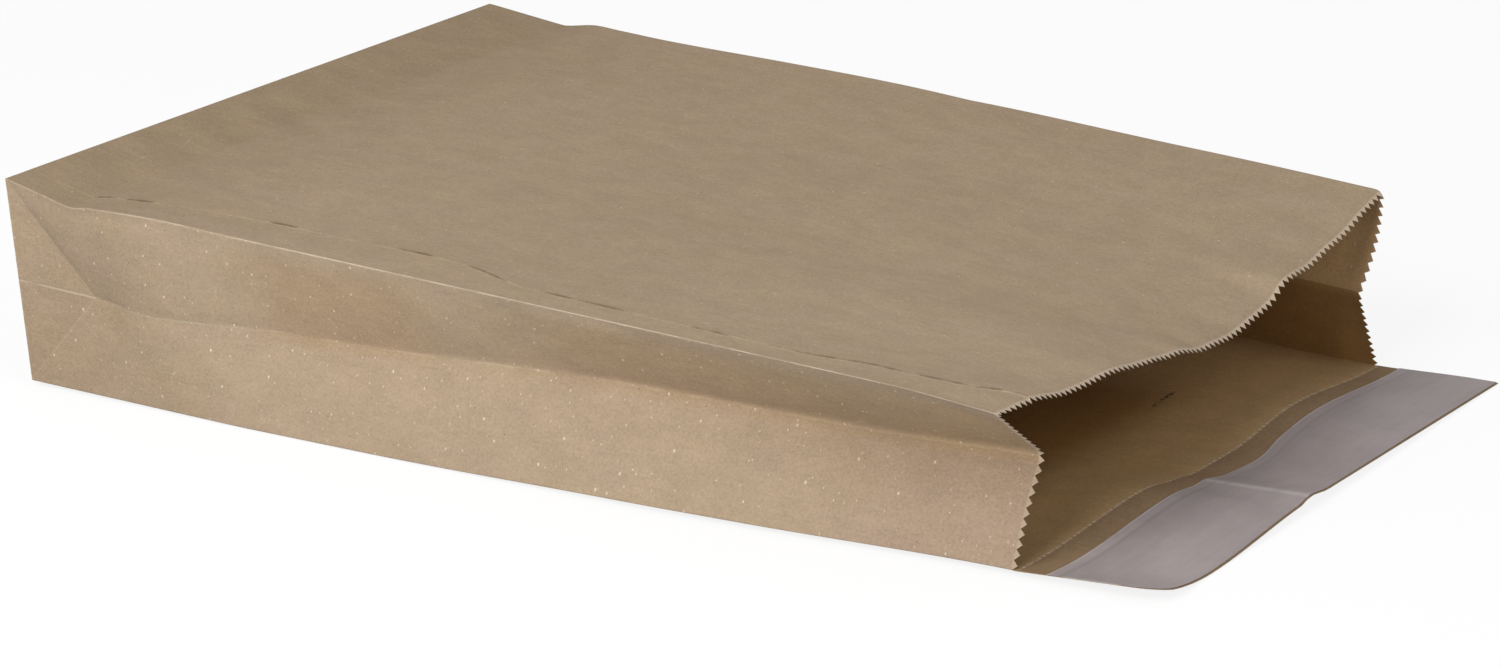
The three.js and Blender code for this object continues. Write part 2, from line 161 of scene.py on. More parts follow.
# Relief of the gussets; shares run from a fold at 0 to the middle fold at 1
RELIEF_START, RELIEF_END = (0.0, 0.2), (0.85, 1.0)
SIDE_RIDGE, RIDGE_SLANT, RIDGE_LOW_SHARE = (1.1, 62.0, 4.0), 0.12, 0.4
LOWER_BULGE, UPPER_BULGE, BULGE_REACH = 1.3, 0.5, 90.0
FAR_BOW, FAR_BOW_REACH = (4.5, -1.0), 100.0
SIDE_WAVES, SIDE_SEED, SIDE_LENGTH, SIDE_START = 0.45, 21, 60, (12.0, 50.0)
FLANK_BULGE, FLANK_BULGE_REACH, FLANK_LOW_SHARE = 1.2, 9.0, 0.25
FLANK_START, FLANK_END = (0.0, 0.3), (45.0, 80.0)
VALLEY_FLOOR = 0.01

# Radii over which the folds are rounded, and the steps and weights of that average
FOLD_RADIUS = 0.55
MIDDLE_RADIUS, MIDDLE_BLEND = (0.9, 3.4), 4
CREASE_RADIUS, CREASE_BLEND = 0.6, (3.0, 14.0)
AVERAGE_STEPS = ((-1, 1), (-0.5, 2), (0, 2), (0.5, 2), (1, 1))

# The tube's development: back panel, far gusset, front panel and near gusset, one after the other
AT_FAR = WIDTH
AT_TOP = WIDTH + GUSSET
AT_NEAR = 2 * WIDTH + GUSSET
ROUND = 2 * (WIDTH + GUSSET)

# Pinked runs round the tube, each with whole teeth, as start and length
TOOTH_RUNS = (
    (AT_FAR, HALF_GUSSET),
    (AT_FAR + HALF_GUSSET, HALF_GUSSET),
    (AT_TOP, WIDTH),
    (AT_NEAR, HALF_GUSSET),
    (AT_NEAR + HALF_GUSSET, HALF_GUSSET),
)

# Rows and columns of the meshes, and the flaps' seed and place on the sheet
BACK_COLUMNS = 61
FOLD_STEPS = (-0.9, -0.45, 0.45, 0.9)
SEAM_STEPS = (-0.14, 0.14)
CORNER_SHARES = (0.03, 0.2, 0.38, 0.75)
PLACE_DIGITS = 4
BASE_INSETS = (40, 31, 22, 13, 6, 2.6, 1.2, 0.5)
EDGE_SHARES = (0.0, 0.012, 0.028)
BODY_ROWS, ROW_CROWDING = 78, 1.08
TOOTH_ROWS = (0.4, 0.75, 0.96, 1.0)
SCORE_STEP, LIP_ROWS = 0.8, 12
WELD_GAP = 0.02
FLAP_EDGE_ROWS, FLAP_ROWS, FLAP_COLUMNS = (0.6, 1.4, 3.0), 9, 61
FLAP_ROWS_FROM, FLAP_LAST_ROW = 6.0, 2.0
FLAP_CURL, FLAP_CURL_REACH, FLAP_CURL_START = 0.35, 3.0, (2.0, 14.0)
FLAP_WAVES, FLAP_LENGTH, FLAP_WAVES_START = 0.15, 70, (1.0, 12.0)
LOWER_FLAP, UPPER_FLAP = (32, 1400), (31, 1000)
STRIP_FIRST, STRIP_COLUMNS, STRIP_LAST = (0.0, 0.001, 0.006, 0.0115, 0.0225), 61, (0.998, 1.0)
STRIP_SPAN = (0.03, 0.99)
STRIP_ROWS, STRIP_BORDER = 15, (0.004, 0.012, 0.988, 0.996)


def sides(pair, v):
    return pair[0] + (pair[1] - pair[0]) * v


def smooth(x, low, high):
    t = np.clip((x - low) / (high - low), 0, 1)
    return t * t * (3 - 2 * t)


def hump(y, wave):
    height, centre, before, after = wave
    away = np.minimum(1, np.abs(y - centre) / np.where(y < centre, before, after))
    return height * 0.5 * (1 + np.cos(np.pi * away))


def bell(s, shape):
    height, centre, width = shape
    return height * np.exp(-(((s - centre) / width) ** 2))


def near_corner(y, corner):
    height, width = corner
    return height * np.clip(1 - (y + WIDTH / 2) / width, 0, 1) ** 2


def soft_waves(a, b, seed, length):
    """A gentle relief between about -1 and 1, from a few plane waves of about the given length."""
    rng = np.random.default_rng(seed)
    total = 0
    for _ in range(WAVE_COUNT):
        angle = rng.uniform(0, math.pi)
        number = 2 * math.pi / (length * rng.uniform(*WAVE_LENGTHS))
        phase = rng.uniform(0, 2 * math.pi)
        total = total + np.sin(number * (a * math.cos(angle) + b * math.sin(angle)) + phase)
    return total / math.sqrt(2 * WAVE_COUNT)


def across(v):
    return (v - 0.5) * WIDTH


def crease_at(v):
    return sides(CREASE_AT, v)


def lip_end(v):
    return LENGTH + LIP + LIP_SKEW * (0.5 - v)


def corner_cut(v):
    """How far the lip's rounded near corner stays behind its straight cut."""
    short = LIP_CORNER_RADIUS - np.clip(v * WIDTH, 0, LIP_CORNER_RADIUS)
    return LIP_CORNER_RADIUS - np.sqrt(LIP_CORNER_RADIUS**2 - LIP_CORNER_SHARE * short**2)


def seam_inset(s):
    total = SEAM_INSET
    for shift_by, start, end in SEAM_SHIFTS:
        total = total + shift_by * smooth(s, start, end)
    return total


def follow_seam(s, q):
    """Columns beside the lap seam, moved so that two of them keep to its edge."""
    at_mouth = seam_inset(LENGTH)
    inset = seam_inset(np.clip(s, 0, LENGTH))
    away = AT_NEAR - q
    before = away * inset / at_mouth
    beyond = inset + (away - at_mouth) * (SEAM_WARP_REACH - inset) / (SEAM_WARP_REACH - at_mouth)
    moved = AT_NEAR - np.where(away < at_mouth, before, beyond)
    return np.where((away > 0) & (away < SEAM_WARP_REACH), moved, q)


def heel_fade(s, v):
    return np.maximum(0, 1 - s / sides(HEEL_REACH, v))


def slack_along(s):
    return np.clip((s - SHOULDER_AT) / (LENGTH - SHOULDER_AT), 0, 1)


def folded_height(s, v):
    """Distance between a gusset's two folds, with a kink in the top fold and a shoulder behind it."""
    kink = sides(KINK_AT, v)
    at_kink = GUSSET - sides(KINK_DROP, v)
    at_shoulder = GUSSET - sides(SHOULDER_DROP, v)
    at_mouth = GUSSET - sides(MOUTH_DROP, v)
    base = GUSSET + (at_kink - GUSSET) * s / kink
    band = at_kink + (at_shoulder - at_kink) * (s - kink) / (SHOULDER_AT - kink)
    body = at_shoulder + (at_mouth - at_shoulder) * slack_along(s) ** sides(SHOULDER_CURVE, v)
    return np.where(s < kink, base, np.where(s < SHOULDER_AT, band, body))


def standing_height(s, v):
    """The same with a soft shoulder, the near notch and the far step beside the base crease."""
    softened = 0
    offsets = np.linspace(-SHOULDER_BLEND, SHOULDER_BLEND, BLEND_STEPS)
    for offset in offsets:
        softened = softened + folded_height(s + offset, v) / len(offsets)
    soft_share = smooth(s, crease_at(v) + SHOULDER_BLEND, SHOULDER_AT - SHOULDER_BLEND / 2)
    height = folded_height(s, v) * (1 - soft_share) + softened * soft_share
    depth, centre, after = NEAR_NOTCH
    notch = depth * np.clip(np.minimum(s / centre, 1 - (s - centre) / after), 0, 1)
    far = smooth(s, *FAR_STEP_START) * bell(s, FAR_STEP) + hump(s, FAR_RISE) - hump(s, FAR_DIP)
    return height + far * v**FAR_FADE - notch * (1 - v) ** NOTCH_FADE


def sag_across(v):
    reach = np.where(v < SAG_PLACE, SAG_PLACE, 1 - SAG_PLACE)

    def rounded(distance):
        return np.hypot(distance, SAG_ROUNDING) - SAG_ROUNDING

    return 1 - rounded((v - SAG_PLACE) / reach) / rounded(1.0)


def lip_wave(y):
    beyond = np.clip((y - LIP_RISE_TO) / (WIDTH / 2 - LIP_RISE_TO), 0, 1)
    rise = (LIP_RISE - LIP_FALL * beyond) * smooth(y, LIP_RISE_FROM, LIP_RISE_TO)
    return rise + near_corner(y, LIP_CORNER)


def bottom(s, v):
    """Back panel and lip."""
    s, v = np.broadcast_arrays(np.asarray(s, float), np.asarray(v, float))
    fade = heel_fade(s, v)
    y = across(v)
    along_lip = np.clip((s - LENGTH) / (lip_end(v) - LENGTH), 0, 1)
    at_mouth = hump(y, NEAR_WAVE) + hump(y, FAR_WAVE) + near_corner(y, MOUTH_CORNER)
    wave = smooth(s, LENGTH - WAVE_REACH, LENGTH) * (at_mouth + (lip_wave(y) - at_mouth) * along_lip)
    wave = wave + hump(y, LIP_RIDGE) * smooth(s, *LIP_RIDGE_SPAN)
    wave = wave + hump(s, BACK_ARCH) * np.clip(1 - v / ARCH_SHARE, 0, 1) ** 2
    pull = np.where(v < 0.5, BACK_PULL[0], BACK_PULL[1])
    y = y + pull * (1 - 2 * v) * smooth(s, LENGTH - PULL_REACH, LENGTH)
    corner = smooth(s, LENGTH - CORNER_BEFORE, LENGTH) * (1 - smooth(s, LENGTH, LENGTH + CORNER_AFTER))
    y = y - FAR_CORNER_PULL * corner * v**CORNER_FADE
    x = s - BASE_SKEW * (0.5 - v) * fade
    return np.stack([x, y, sides(HEEL_LIFT, v) * fade + wave], -1)


def top_relief(s, v):
    """Puckers in the band beside the base and slow waves over the front panel, none at its folds."""
    y = across(v)
    crease = crease_at(v)
    band = smooth(s, *PUCKER_START) * (1 - smooth(s - crease, *PUCKER_END))
    place = smooth(y, *PUCKER_NEAR) * (1 - PUCKER_FAR_LOSS * smooth(y, *PUCKER_FAR))
    wander = PUCKER_WANDER * np.sin(y / PUCKER_WANDER_LENGTH)
    phase = 2 * math.pi * (y + PUCKER_SLANT * s) / PUCKER_PITCH + wander
    puckers = PUCKER_SHARE * np.sin(phase) + soft_waves(s, y, *PUCKER_NOISE)
    puckers = PUCKER_HEIGHT * band * place * puckers
    calm = smooth(s, crease, crease + PANEL_CALM) * (1 - MOUTH_CALM * smooth(s, *MOUTH_CALM_SPAN))
    waves = PANEL_WAVES * soft_waves(PANEL_STRETCH * s, y, *PANEL_NOISE) * calm
    half = WIDTH / 2
    inside = smooth(y, -half, RELIEF_MARGIN - half) * (1 - smooth(y, half - RELIEF_MARGIN, half))
    return inside * (puckers + waves)


def seam_step(s, v):
    """The outer layer's free edge along the lap seam, lifted off here and there."""
    inset = v * WIDTH - seam_inset(s)
    edge = smooth(inset, -SEAM_EDGE, SEAM_EDGE)
    loose = 0
    for middle_at, half_length in SEAM_OPENINGS:
        fade = [share * half_length for share in OPENING_FADE]
        loose = np.maximum(loose, 1 - smooth(np.abs(s - middle_at), *fade))
    return edge * (PAPER + SEAM_LIFT * loose * np.exp(-np.maximum(0, inset) / SEAM_LIFT_REACH))


def top(s, v):
    """Front panel, without its seam."""
    s, v = np.broadcast_arrays(np.asarray(s, float), np.asarray(v, float))
    fade = heel_fade(s, v)
    slack = slack_along(s) ** SAG_CURVE
    x = s - (BASE_LEAN + BASE_SKEW * (0.5 - v)) * fade - sides(MOUTH_LEAN, v) * slack
    y = across(v) + slack * sides((FRONT_PULL[0], -FRONT_PULL[1]), v)
    z = sides(HEEL_LIFT, v) * fade + standing_height(s, v)
    z = z - SAG_DEPTH * slack * sag_across(v) + slack**2 * hump(across(v), SAG_BUMP)
    curl = np.clip(1 - (LENGTH - s) / CURL_REACH, 0, 1) ** 2
    slope = np.clip(1 - (LENGTH - s) / CORNER_REACH, 0, 1) ** CORNER_CURVE
    z = z - MOUTH_CURL * (slope + (curl - slope) * smooth(v, 0, CURL_CORNER))
    ripples = sum(hump(across(v), ripple) for ripple in MOUTH_RIPPLES)
    z = z + ripples * smooth(s, LENGTH - RIPPLE_REACH, LENGTH)
    return np.stack([x, y, z], -1)


def middle(s, v):
    """Middle fold of the near (v = 0) or far (v = 1) gusset."""
    upper, lower = top(s, v), bottom(s, v)
    across_gap = upper[..., 1] - lower[..., 1]
    up_gap = upper[..., 2] - lower[..., 2]
    span = np.hypot(across_gap, up_gap)
    depth = np.sqrt(np.maximum(0, GUSSET**2 - span**2)) / 2
    depth = depth * (BASE_FOLD_DEPTH + (1 - BASE_FOLD_DEPTH) * slack_along(s))
    depth = depth * (1 - (1 - v) * hump(s, FOLD_FLAT))
    at_far_end = v * smooth(s, LENGTH - FAR_FOLD_REACH, LENGTH)
    depth = depth * (1 - FAR_FOLD_SHALLOW * at_far_end)
    inward = (1 - 2 * v) * depth / span
    point = (upper + lower) / 2
    point[..., 1] += up_gap * inward
    point[..., 2] -= across_gap * inward
    point[..., 2] += (1 - v) * (hump(s, FOLD_RISE) - hump(s, FOLD_DIP))
    point[..., 2] -= FAR_FOLD_DROP * at_far_end
    point[..., 2] += (1 - v) * NEAR_FOLD_LIFT * smooth(s, LENGTH - NEAR_LIFT_REACH, LENGTH)
    return point


def gusset_relief(s, g, v):
    """Outward bulges and dents of a gusset, none at its folds."""
    half = HALF_GUSSET
    is_upper = g <= half
    to_fold = np.where(is_upper, g, GUSSET - g) / half
    crease = crease_at(v)
    between = smooth(to_fold, *RELIEF_START) * (1 - smooth(to_fold, *RELIEF_END))
    height, centre, reach = SIDE_RIDGE
    ridge = height * np.exp(-np.abs(s - centre - RIDGE_SLANT * g) / reach)
    ridge = ridge * np.where(is_upper, 1, RIDGE_LOW_SHARE)
    arch = np.sin(np.pi * np.clip(to_fold, 0, 1))
    bulge = np.where(is_upper, UPPER_BULGE, LOWER_BULGE) * arch
    bulge = bulge * smooth(s, crease, crease + BULGE_REACH)
    bow = np.where(is_upper, *FAR_BOW) * v * smooth(s, LENGTH - FAR_BOW_REACH, LENGTH)
    bulge = bulge + bow * arch
    slow = SIDE_WAVES * soft_waves(s, g, SIDE_SEED + int(v), SIDE_LENGTH) * smooth(s, *SIDE_START)
    from_diagonal = np.maximum(s / crease - to_fold, 0) * crease / math.sqrt(2)
    from_middle = (1 - to_fold) * half
    valley = from_diagonal * from_middle / (from_diagonal + from_middle + VALLEY_FLOOR) / FLANK_BULGE_REACH
    flank = FLANK_BULGE * valley * np.exp(1 - valley) * smooth(to_fold, *FLANK_START)
    flank = flank * np.where(is_upper, 1, FLANK_LOW_SHARE) * (1 - smooth(s, *FLANK_END))
    return between * (ridge + slow) + bulge + flank


def gusset(s, g, v):
    """A gusset: up to the base crease a flat triangle on the base edge between two flanks."""
    half = HALF_GUSSET
    is_upper = (g <= half)[..., None]
    to_fold = (np.where(g <= half, g, GUSSET - g) / half)[..., None]
    crease = crease_at(v)
    edge = np.where(is_upper, top(s, v), bottom(s, v))
    opened = edge + (middle(s, v) - edge) * to_fold
    along = np.clip(s / crease, 0, 1)[..., None]
    apex = middle(crease, v)
    shoulder = np.where(is_upper, top(crease, v), bottom(crease, v))
    flank = edge + (apex - shoulder) * to_fold
    on_base = top(0, v) + (bottom(0, v) - top(0, v)) * (g / GUSSET)[..., None]
    triangle = on_base + (apex - (top(0, v) + bottom(0, v)) / 2) * along
    point = np.where((s >= crease)[..., None], opened, flank)
    point = np.where(to_fold > along, triangle, point)
    point[..., 1] += (2 * v - 1) * gusset_relief(s, g, v)
    return point


def base_wall(inset, q):
    """The base, at a distance in from the tube's edge."""
    span = [q < AT_FAR, q < AT_TOP, q < AT_NEAR]
    over = np.select(span, [q, WIDTH + 0 * q, WIDTH - (q - AT_TOP)], 0 * q)
    up = np.select(span, [0 * q, q - AT_FAR, GUSSET + 0 * q], GUSSET - (q - AT_NEAR))
    over = np.clip(over, inset, WIDTH - inset)
    up = (np.clip(up, inset, GUSSET - inset) / GUSSET)[..., None]
    return bottom(0, over / WIDTH) * (1 - up) + top(0, over / WIDTH) * up


def sheet_point(s, q):
    """A point of the folded sheet: s along the bag, negative on the base, and q round the tube."""
    s, q = np.broadcast_arrays(np.asarray(s, float), np.asarray(q, float) % ROUND)
    s_tube = np.maximum(s, 0)
    v_top = np.clip(1 - (q - AT_TOP) / WIDTH, 0, 1)
    front = top(s_tube, v_top)
    front[..., 2] += top_relief(s_tube, v_top)
    back = bottom(s_tube, np.clip(q / WIDTH, 0, 1))
    far = gusset(s_tube, np.clip(AT_TOP - q, 0, GUSSET), 1.0)
    tube = gusset(s_tube, np.clip(q - AT_NEAR, 0, GUSSET), 0.0)
    for end, part in ((AT_NEAR, front), (AT_TOP, far), (AT_FAR, back)):
        tube = np.where((q < end)[..., None], part, tube)
    return np.where((s < 0)[..., None], base_wall(np.maximum(-s, 0), q), tube)


def rounded_point(s, q):
    """The folded sheet with its folds rounded, by averaging over a small patch of it."""
    s, q = np.broadcast_arrays(np.asarray(s, float), np.asarray(q, float))
    to_middle = np.minimum(np.abs(q - AT_FAR - HALF_GUSSET), np.abs(q - AT_NEAR - HALF_GUSSET))
    soft = sides(MIDDLE_RADIUS, slack_along(s))
    radius_q = FOLD_RADIUS + (soft - FOLD_RADIUS) * (1 - smooth(to_middle, soft, MIDDLE_BLEND * soft))
    radius_s = FOLD_RADIUS + (CREASE_RADIUS - FOLD_RADIUS) * smooth(s, *CREASE_BLEND)
    total = 0
    whole = sum(weight for _, weight in AVERAGE_STEPS) ** 2
    for step_s, weight_s in AVERAGE_STEPS:
        for step_q, weight_q in AVERAGE_STEPS:
            share = weight_s * weight_q / whole
            total = total + share * sheet_point(s + step_s * radius_s, q + step_q * radius_q)
    return total


def seamed_point(s, q):
    """The rounded sheet with the lap seam's layers."""
    point = rounded_point(s, q)
    v_top = 1 - (q - AT_TOP) / WIDTH
    on_top = (q >= AT_TOP) & (q <= AT_NEAR)
    on_tube = smooth(s, *SEAM_START)
    seam = seam_step(np.maximum(s, 0), np.clip(v_top, 0, 1))
    point[..., 2] += np.where(on_top, seam, 0) * on_tube
    far_lift = PAPER * np.clip((q - AT_FAR) / GUSSET, 0, 1)
    point[..., 2] += np.where((q > AT_FAR) & (q < AT_TOP), far_lift, 0) * on_tube
    return point


def columns_round():
    """Places round the tube: half a tooth apart on front and gussets, closer at folds and seam."""
    runs = [np.linspace(0, AT_FAR, BACK_COLUMNS)]
    for start, length in TOOTH_RUNS:
        runs.append(np.linspace(start, start + length, 2 * round(length / TOOTH_PITCH) + 1))
    folds = [0, *(start for start, _ in TOOTH_RUNS), ROUND]
    extra = [fold + step for fold in folds for step in FOLD_STEPS]
    extra += [AT_NEAR - seam_inset(LENGTH) + step for step in SEAM_STEPS]
    extra += [share * LIP_CORNER_RADIUS for share in CORNER_SHARES]
    places = np.concatenate(runs + [np.array(extra)])
    return np.unique(np.round(places[(places >= 0) & (places <= ROUND)], PLACE_DIGITS))


def tooth_edge(q):
    """Where the pinked cut runs along the bag: tips at LENGTH, roots TOOTH_DEPTH behind."""
    edge = np.full_like(q, LENGTH - TOOTH_DEPTH)
    for start, length in TOOTH_RUNS:
        teeth = round(length / TOOTH_PITCH)
        place = np.clip((q - start) / length, 0, 1) * teeth
        tip = 1 - np.abs(2 * (place % 1) - 1)
        edge = np.where((q >= start) & (q <= start + length), LENGTH - TOOTH_DEPTH * (1 - tip), edge)
    return edge


def side_share(q):
    """v for each place round the tube."""
    on_gusset = np.where(q < AT_TOP, 1.0, 0.0)
    share = np.where(q < AT_FAR, q / WIDTH, on_gusset)
    return np.where((q >= AT_TOP) & (q <= AT_NEAR), 1 - (q - AT_TOP) / WIDTH, share)


class MeshParts:
    """Collects vertices, faces and development coordinates for one object."""

    def __init__(self):
        self.points = []
        self.places = []
        self.faces = []
        self.count = 0

    def add(self, points, q, s):
        """Takes rows of points with their places on the sheet; returns the index of each."""
        index = self.count + np.arange(points.size // 3).reshape(points.shape[:-1])
        self.points.append(points.reshape(-1, 3))
        self.places.append(np.stack([q, s], -1).reshape(-1, 2))
        self.count += index.size
        return index

    def join(self, index, flip=False, split=None):
        """Quads over rows by columns, cut into triangles along one diagonal where split is 1 or 2."""
        a, b = index[:-1, :-1], index[:-1, 1:]
        c, d = index[1:, 1:], index[1:, :-1]
        quads = np.stack([a, d, c, b] if flip else [a, b, c, d], -1).reshape(-1, 4)
        ways = [0] * len(quads) if split is None else split.reshape(-1).tolist()
        cuts = (((0, 1, 2, 3),), ((0, 1, 2), (0, 2, 3)), ((0, 1, 3), (1, 2, 3)))
        for quad, way in zip(quads.tolist(), ways):
            self.faces += [[quad[i] for i in face] for face in cuts[way]]


def placed(name, data):
    """A new object with the given data, in the scene."""
    obj = bpy.data.objects.new(name, data)
    bpy.context.scene.collection.objects.link(obj)
    return obj


def make_object(name, parts, shift, materials, thickness, weld=0):
    points = (np.concatenate(parts.points) - shift) * MM
    mesh = bpy.data.meshes.new(name)
    mesh.from_pydata(points.tolist(), [], parts.faces)
    places = np.concatenate(parts.places) * MM
    layer = mesh.uv_layers.new(name="sheet")
    corner = np.zeros(len(mesh.loops), np.int32)
    mesh.loops.foreach_get("vertex_index", corner)
    layer.data.foreach_set("uv", places[corner].astype(np.float32).ravel())
    mesh.polygons.foreach_set("use_smooth", np.ones(len(mesh.polygons), bool))
    for material in materials:
        mesh.materials.append(material)
    obj = placed(name, mesh)
    if weld:
        join = obj.modifiers.new("weld", "WELD")
        join.merge_threshold = weld * MM
    solid = obj.modifiers.new("thickness", "SOLIDIFY")
    solid.thickness = thickness * MM
    solid.offset = -1
    if len(materials) > 1:
        solid.material_offset = 1
    return obj


def stations(q):
    """Rows along the bag: in from the base's middle, over its edge, and on to the tooth roots."""
    crease = crease_at(side_share(q))
    fold_rows = 2 * round(HALF_GUSSET / TOOTH_PITCH)
    rows = [np.full_like(q, -inset) for inset in BASE_INSETS]
    rows += [crease * share for share in EDGE_SHARES]
    rows += [crease * i / fold_rows for i in range(1, fold_rows + 1)]
    body = LENGTH - TOOTH_ROOT - crease
    rows += [crease + body * (i / BODY_ROWS) ** ROW_CROWDING for i in range(1, BODY_ROWS + 1)]
    first = len(BASE_INSETS)
    on_triangles = slice(first, first + len(EDGE_SHARES) + fold_rows)
    return np.array(rows), on_triangles


def build_bag():
    """The tube with its base, then the teeth, then the back panel's end with the lip."""
    parts = MeshParts()
    q = columns_round()
    rows, on_triangles = stations(q)
    places_q = follow_seam(rows, np.broadcast_to(q, rows.shape))
    index = parts.add(seamed_point(rows, places_q), places_q, rows)

    split = np.zeros((rows.shape[0] - 1, len(q) - 1), int)
    centre = (q[:-1] + q[1:]) / 2
    for start, way in ((AT_FAR, 1), (AT_FAR + HALF_GUSSET, 2), (AT_NEAR, 1), (AT_NEAR + HALF_GUSSET, 2)):
        split[on_triangles, (centre > start) & (centre < start + HALF_GUSSET)] = way
    parts.join(index, split=split)

    pinked = q >= AT_FAR
    edge = tooth_edge(q)
    root = LENGTH - TOOTH_ROOT
    tooth_rows = np.array([root + (edge - root) * share for share in TOOTH_ROWS])
    tooth_q = np.broadcast_to(q, tooth_rows.shape)
    tooth_index = parts.add(seamed_point(tooth_rows, tooth_q), tooth_q, tooth_rows)
    parts.join(np.concatenate([index[-1:], tooth_index])[:, pinked])

    on_back = q <= AT_FAR
    back_q = q[on_back]
    end = lip_end(back_q / WIDTH) - corner_cut(back_q / WIDTH)
    past_score = LENGTH + SCORE_STEP
    lip_rows = [*tooth_rows[:, on_back]]
    lip_rows += [np.full_like(back_q, LENGTH + step) for step in (-SCORE_STEP, 0.0, SCORE_STEP)]
    lip_rows += [past_score + (end - past_score) * i / LIP_ROWS for i in range(1, LIP_ROWS + 1)]
    lip_rows = np.array(lip_rows)
    lip_q = np.broadcast_to(back_q, lip_rows.shape)
    lip_points = bottom(lip_rows, lip_q / WIDTH)
    shared = len(TOOTH_ROWS)
    lip_points[:shared] = seamed_point(lip_rows[:shared], lip_q[:shared])
    lip_index = parts.add(lip_points, lip_q, lip_rows)
    parts.join(np.concatenate([index[-1:, on_back], lip_index]))
    return parts


def base_flap(parts, from_top, lift, seed, place):
    """A trapezoid flap folded over the base, with corners at 45 degrees."""
    depth = (GUSSET + FLAP_LAP) / 2
    body = np.linspace(FLAP_ROWS_FROM, depth - FLAP_LAST_ROW, FLAP_ROWS)
    down = np.concatenate([FLAP_EDGE_ROWS, body, [depth]])
    share = np.linspace(0, 1, FLAP_COLUMNS)
    in_from_fold = np.repeat(down[:, None], len(share), 1)
    over = in_from_fold + (WIDTH - 2 * in_from_fold) * share
    up = GUSSET - in_from_fold if from_top else in_from_fold
    lifted = (up / GUSSET)[..., None]
    points = bottom(0, over / WIDTH) * (1 - lifted) + top(0, over / WIDTH) * lifted
    side = np.minimum(share, 1 - share)[None, :] * (WIDTH - 2 * in_from_fold)
    free = np.minimum(side, depth - in_from_fold)
    curl = FLAP_CURL * np.exp(-free / FLAP_CURL_REACH) * smooth(in_from_fold, *FLAP_CURL_START)
    waves = 1 + soft_waves(over, up, seed, FLAP_LENGTH)
    slow = FLAP_WAVES * waves * smooth(in_from_fold, *FLAP_WAVES_START)
    points[..., 0] -= lift + curl + slow
    parts.join(parts.add(points, over + place, up), flip=not from_top)


def build_strip(inset, height, bow):
    """A strip on the lip between two distances from its cut edge, bowed and tapered if bow is 1."""
    v = np.concatenate([STRIP_FIRST, np.linspace(*STRIP_SPAN, STRIP_COLUMNS), STRIP_LAST])
    inner = lip_end(v) - inset[1] + bow * (hump(across(v), LINER_BOW) + LINER_TAPER * v)
    outer = lip_end(v) - inset[0] - corner_cut(v)
    rows = np.sort(np.concatenate([np.linspace(0, 1, STRIP_ROWS), STRIP_BORDER]))[:, None]
    s = inner + (outer - inner) * rows
    across_lip = np.broadcast_to(v, s.shape)
    points = bottom(s, across_lip)
    points[..., 2] += PAPER + height
    parts = MeshParts()
    parts.join(parts.add(points, across_lip * WIDTH, s - inner), flip=True)
    return parts


# Noise on the sheet: cells a metre round the tube and along it, detail, roughness and any shift
CLOUD = ((48, 36), 3, 0.55)
BLOTCH = ((85, 55), 4, 0.6, (3, 7, 0))
STREAK = ((420, 60), 3, 0.6, (5, 1, 0))
MOTTLE = ((360, 300), 3, 0.6, (6, 4, 0))
GRAIN = ((1000, 840), 3, 0.65)
FELT = ((1300, 1000), 4, 0.7, (2, 2, 0))
COCKLE = ((120, 90), 3, 0.5, (4, 9, 0))
WORN_PATCHES = ((260, 60), 4, 0.65, (1, 6, 0))
SEAM_BREAKS = ((0, 90), 4, 0.65, (8, 3, 0))
SCORE_DOTS = ((620, 0), 2, 0.6)
SCUFF_BREAKS = ((500, 300), 3, 0.6, (2, 8, 0))
LINER_CLOUD = ((42, 60), 4, 0.65)
LINER_STREAK = ((14, 300), 3, 0.6)
LINER_GRAIN = ((1500, 1500), 2, 0.6)
LINER_PRESS = ((25, 60), 3, 0.6, (3, 2, 0))
FILM_CLOUD = ((60, 200), 4, 0.6)

# Levels of noise between which a mask or a tone goes from its first to its last value
MID_LEVELS = (0.25, 0.75)
WIDE_LEVELS = (0.2, 0.8)
CLOUD_LEVELS = (0.3, 0.7)
WORN_LEVELS = (0.38, 0.62)
NEAR_TOP_LEVELS = (0.35, 0.62)
FLATTENED_LEVELS = (0.25, 0.5)
SEAM_LEVELS = (0.35, 0.6)
BROKEN_LEVELS = (0.42, 0.58)
PRESS_LEVELS = (0.2, 0.5)
HIGHLIGHT_LEVELS = (0.25, 0.55)
RISING, FALLING = (0.0, 1.0), (1.0, 0.0)

# Fibres: cell, least and largest radius, share of cells with one, turn, shift and strength
LIGHT_FIBRES = (
    (2.2, (0.10, 0.22), 0.14, 0.5, (0.3, 0.1, 0), 0.35),
    (5.5, (0.18, 0.46), 0.42, 0.9, (0.7, 0.4, 0), 0.55),
    (11.0, (0.26, 0.68), 0.50, 0.2, (0.1, 0.9, 0), 0.70),
)
DARK_FIBRES = (
    (3.1, (0.10, 0.22), 0.15, 1.1, (0.5, 0.5, 0), 0.45),
    (9.0, (0.18, 0.42), 0.18, 0.3, (0.9, 0.2, 0), 0.55),
)
FIBRE_STRETCH, FIBRE_CORE = (0.8, 1.25), 0.5


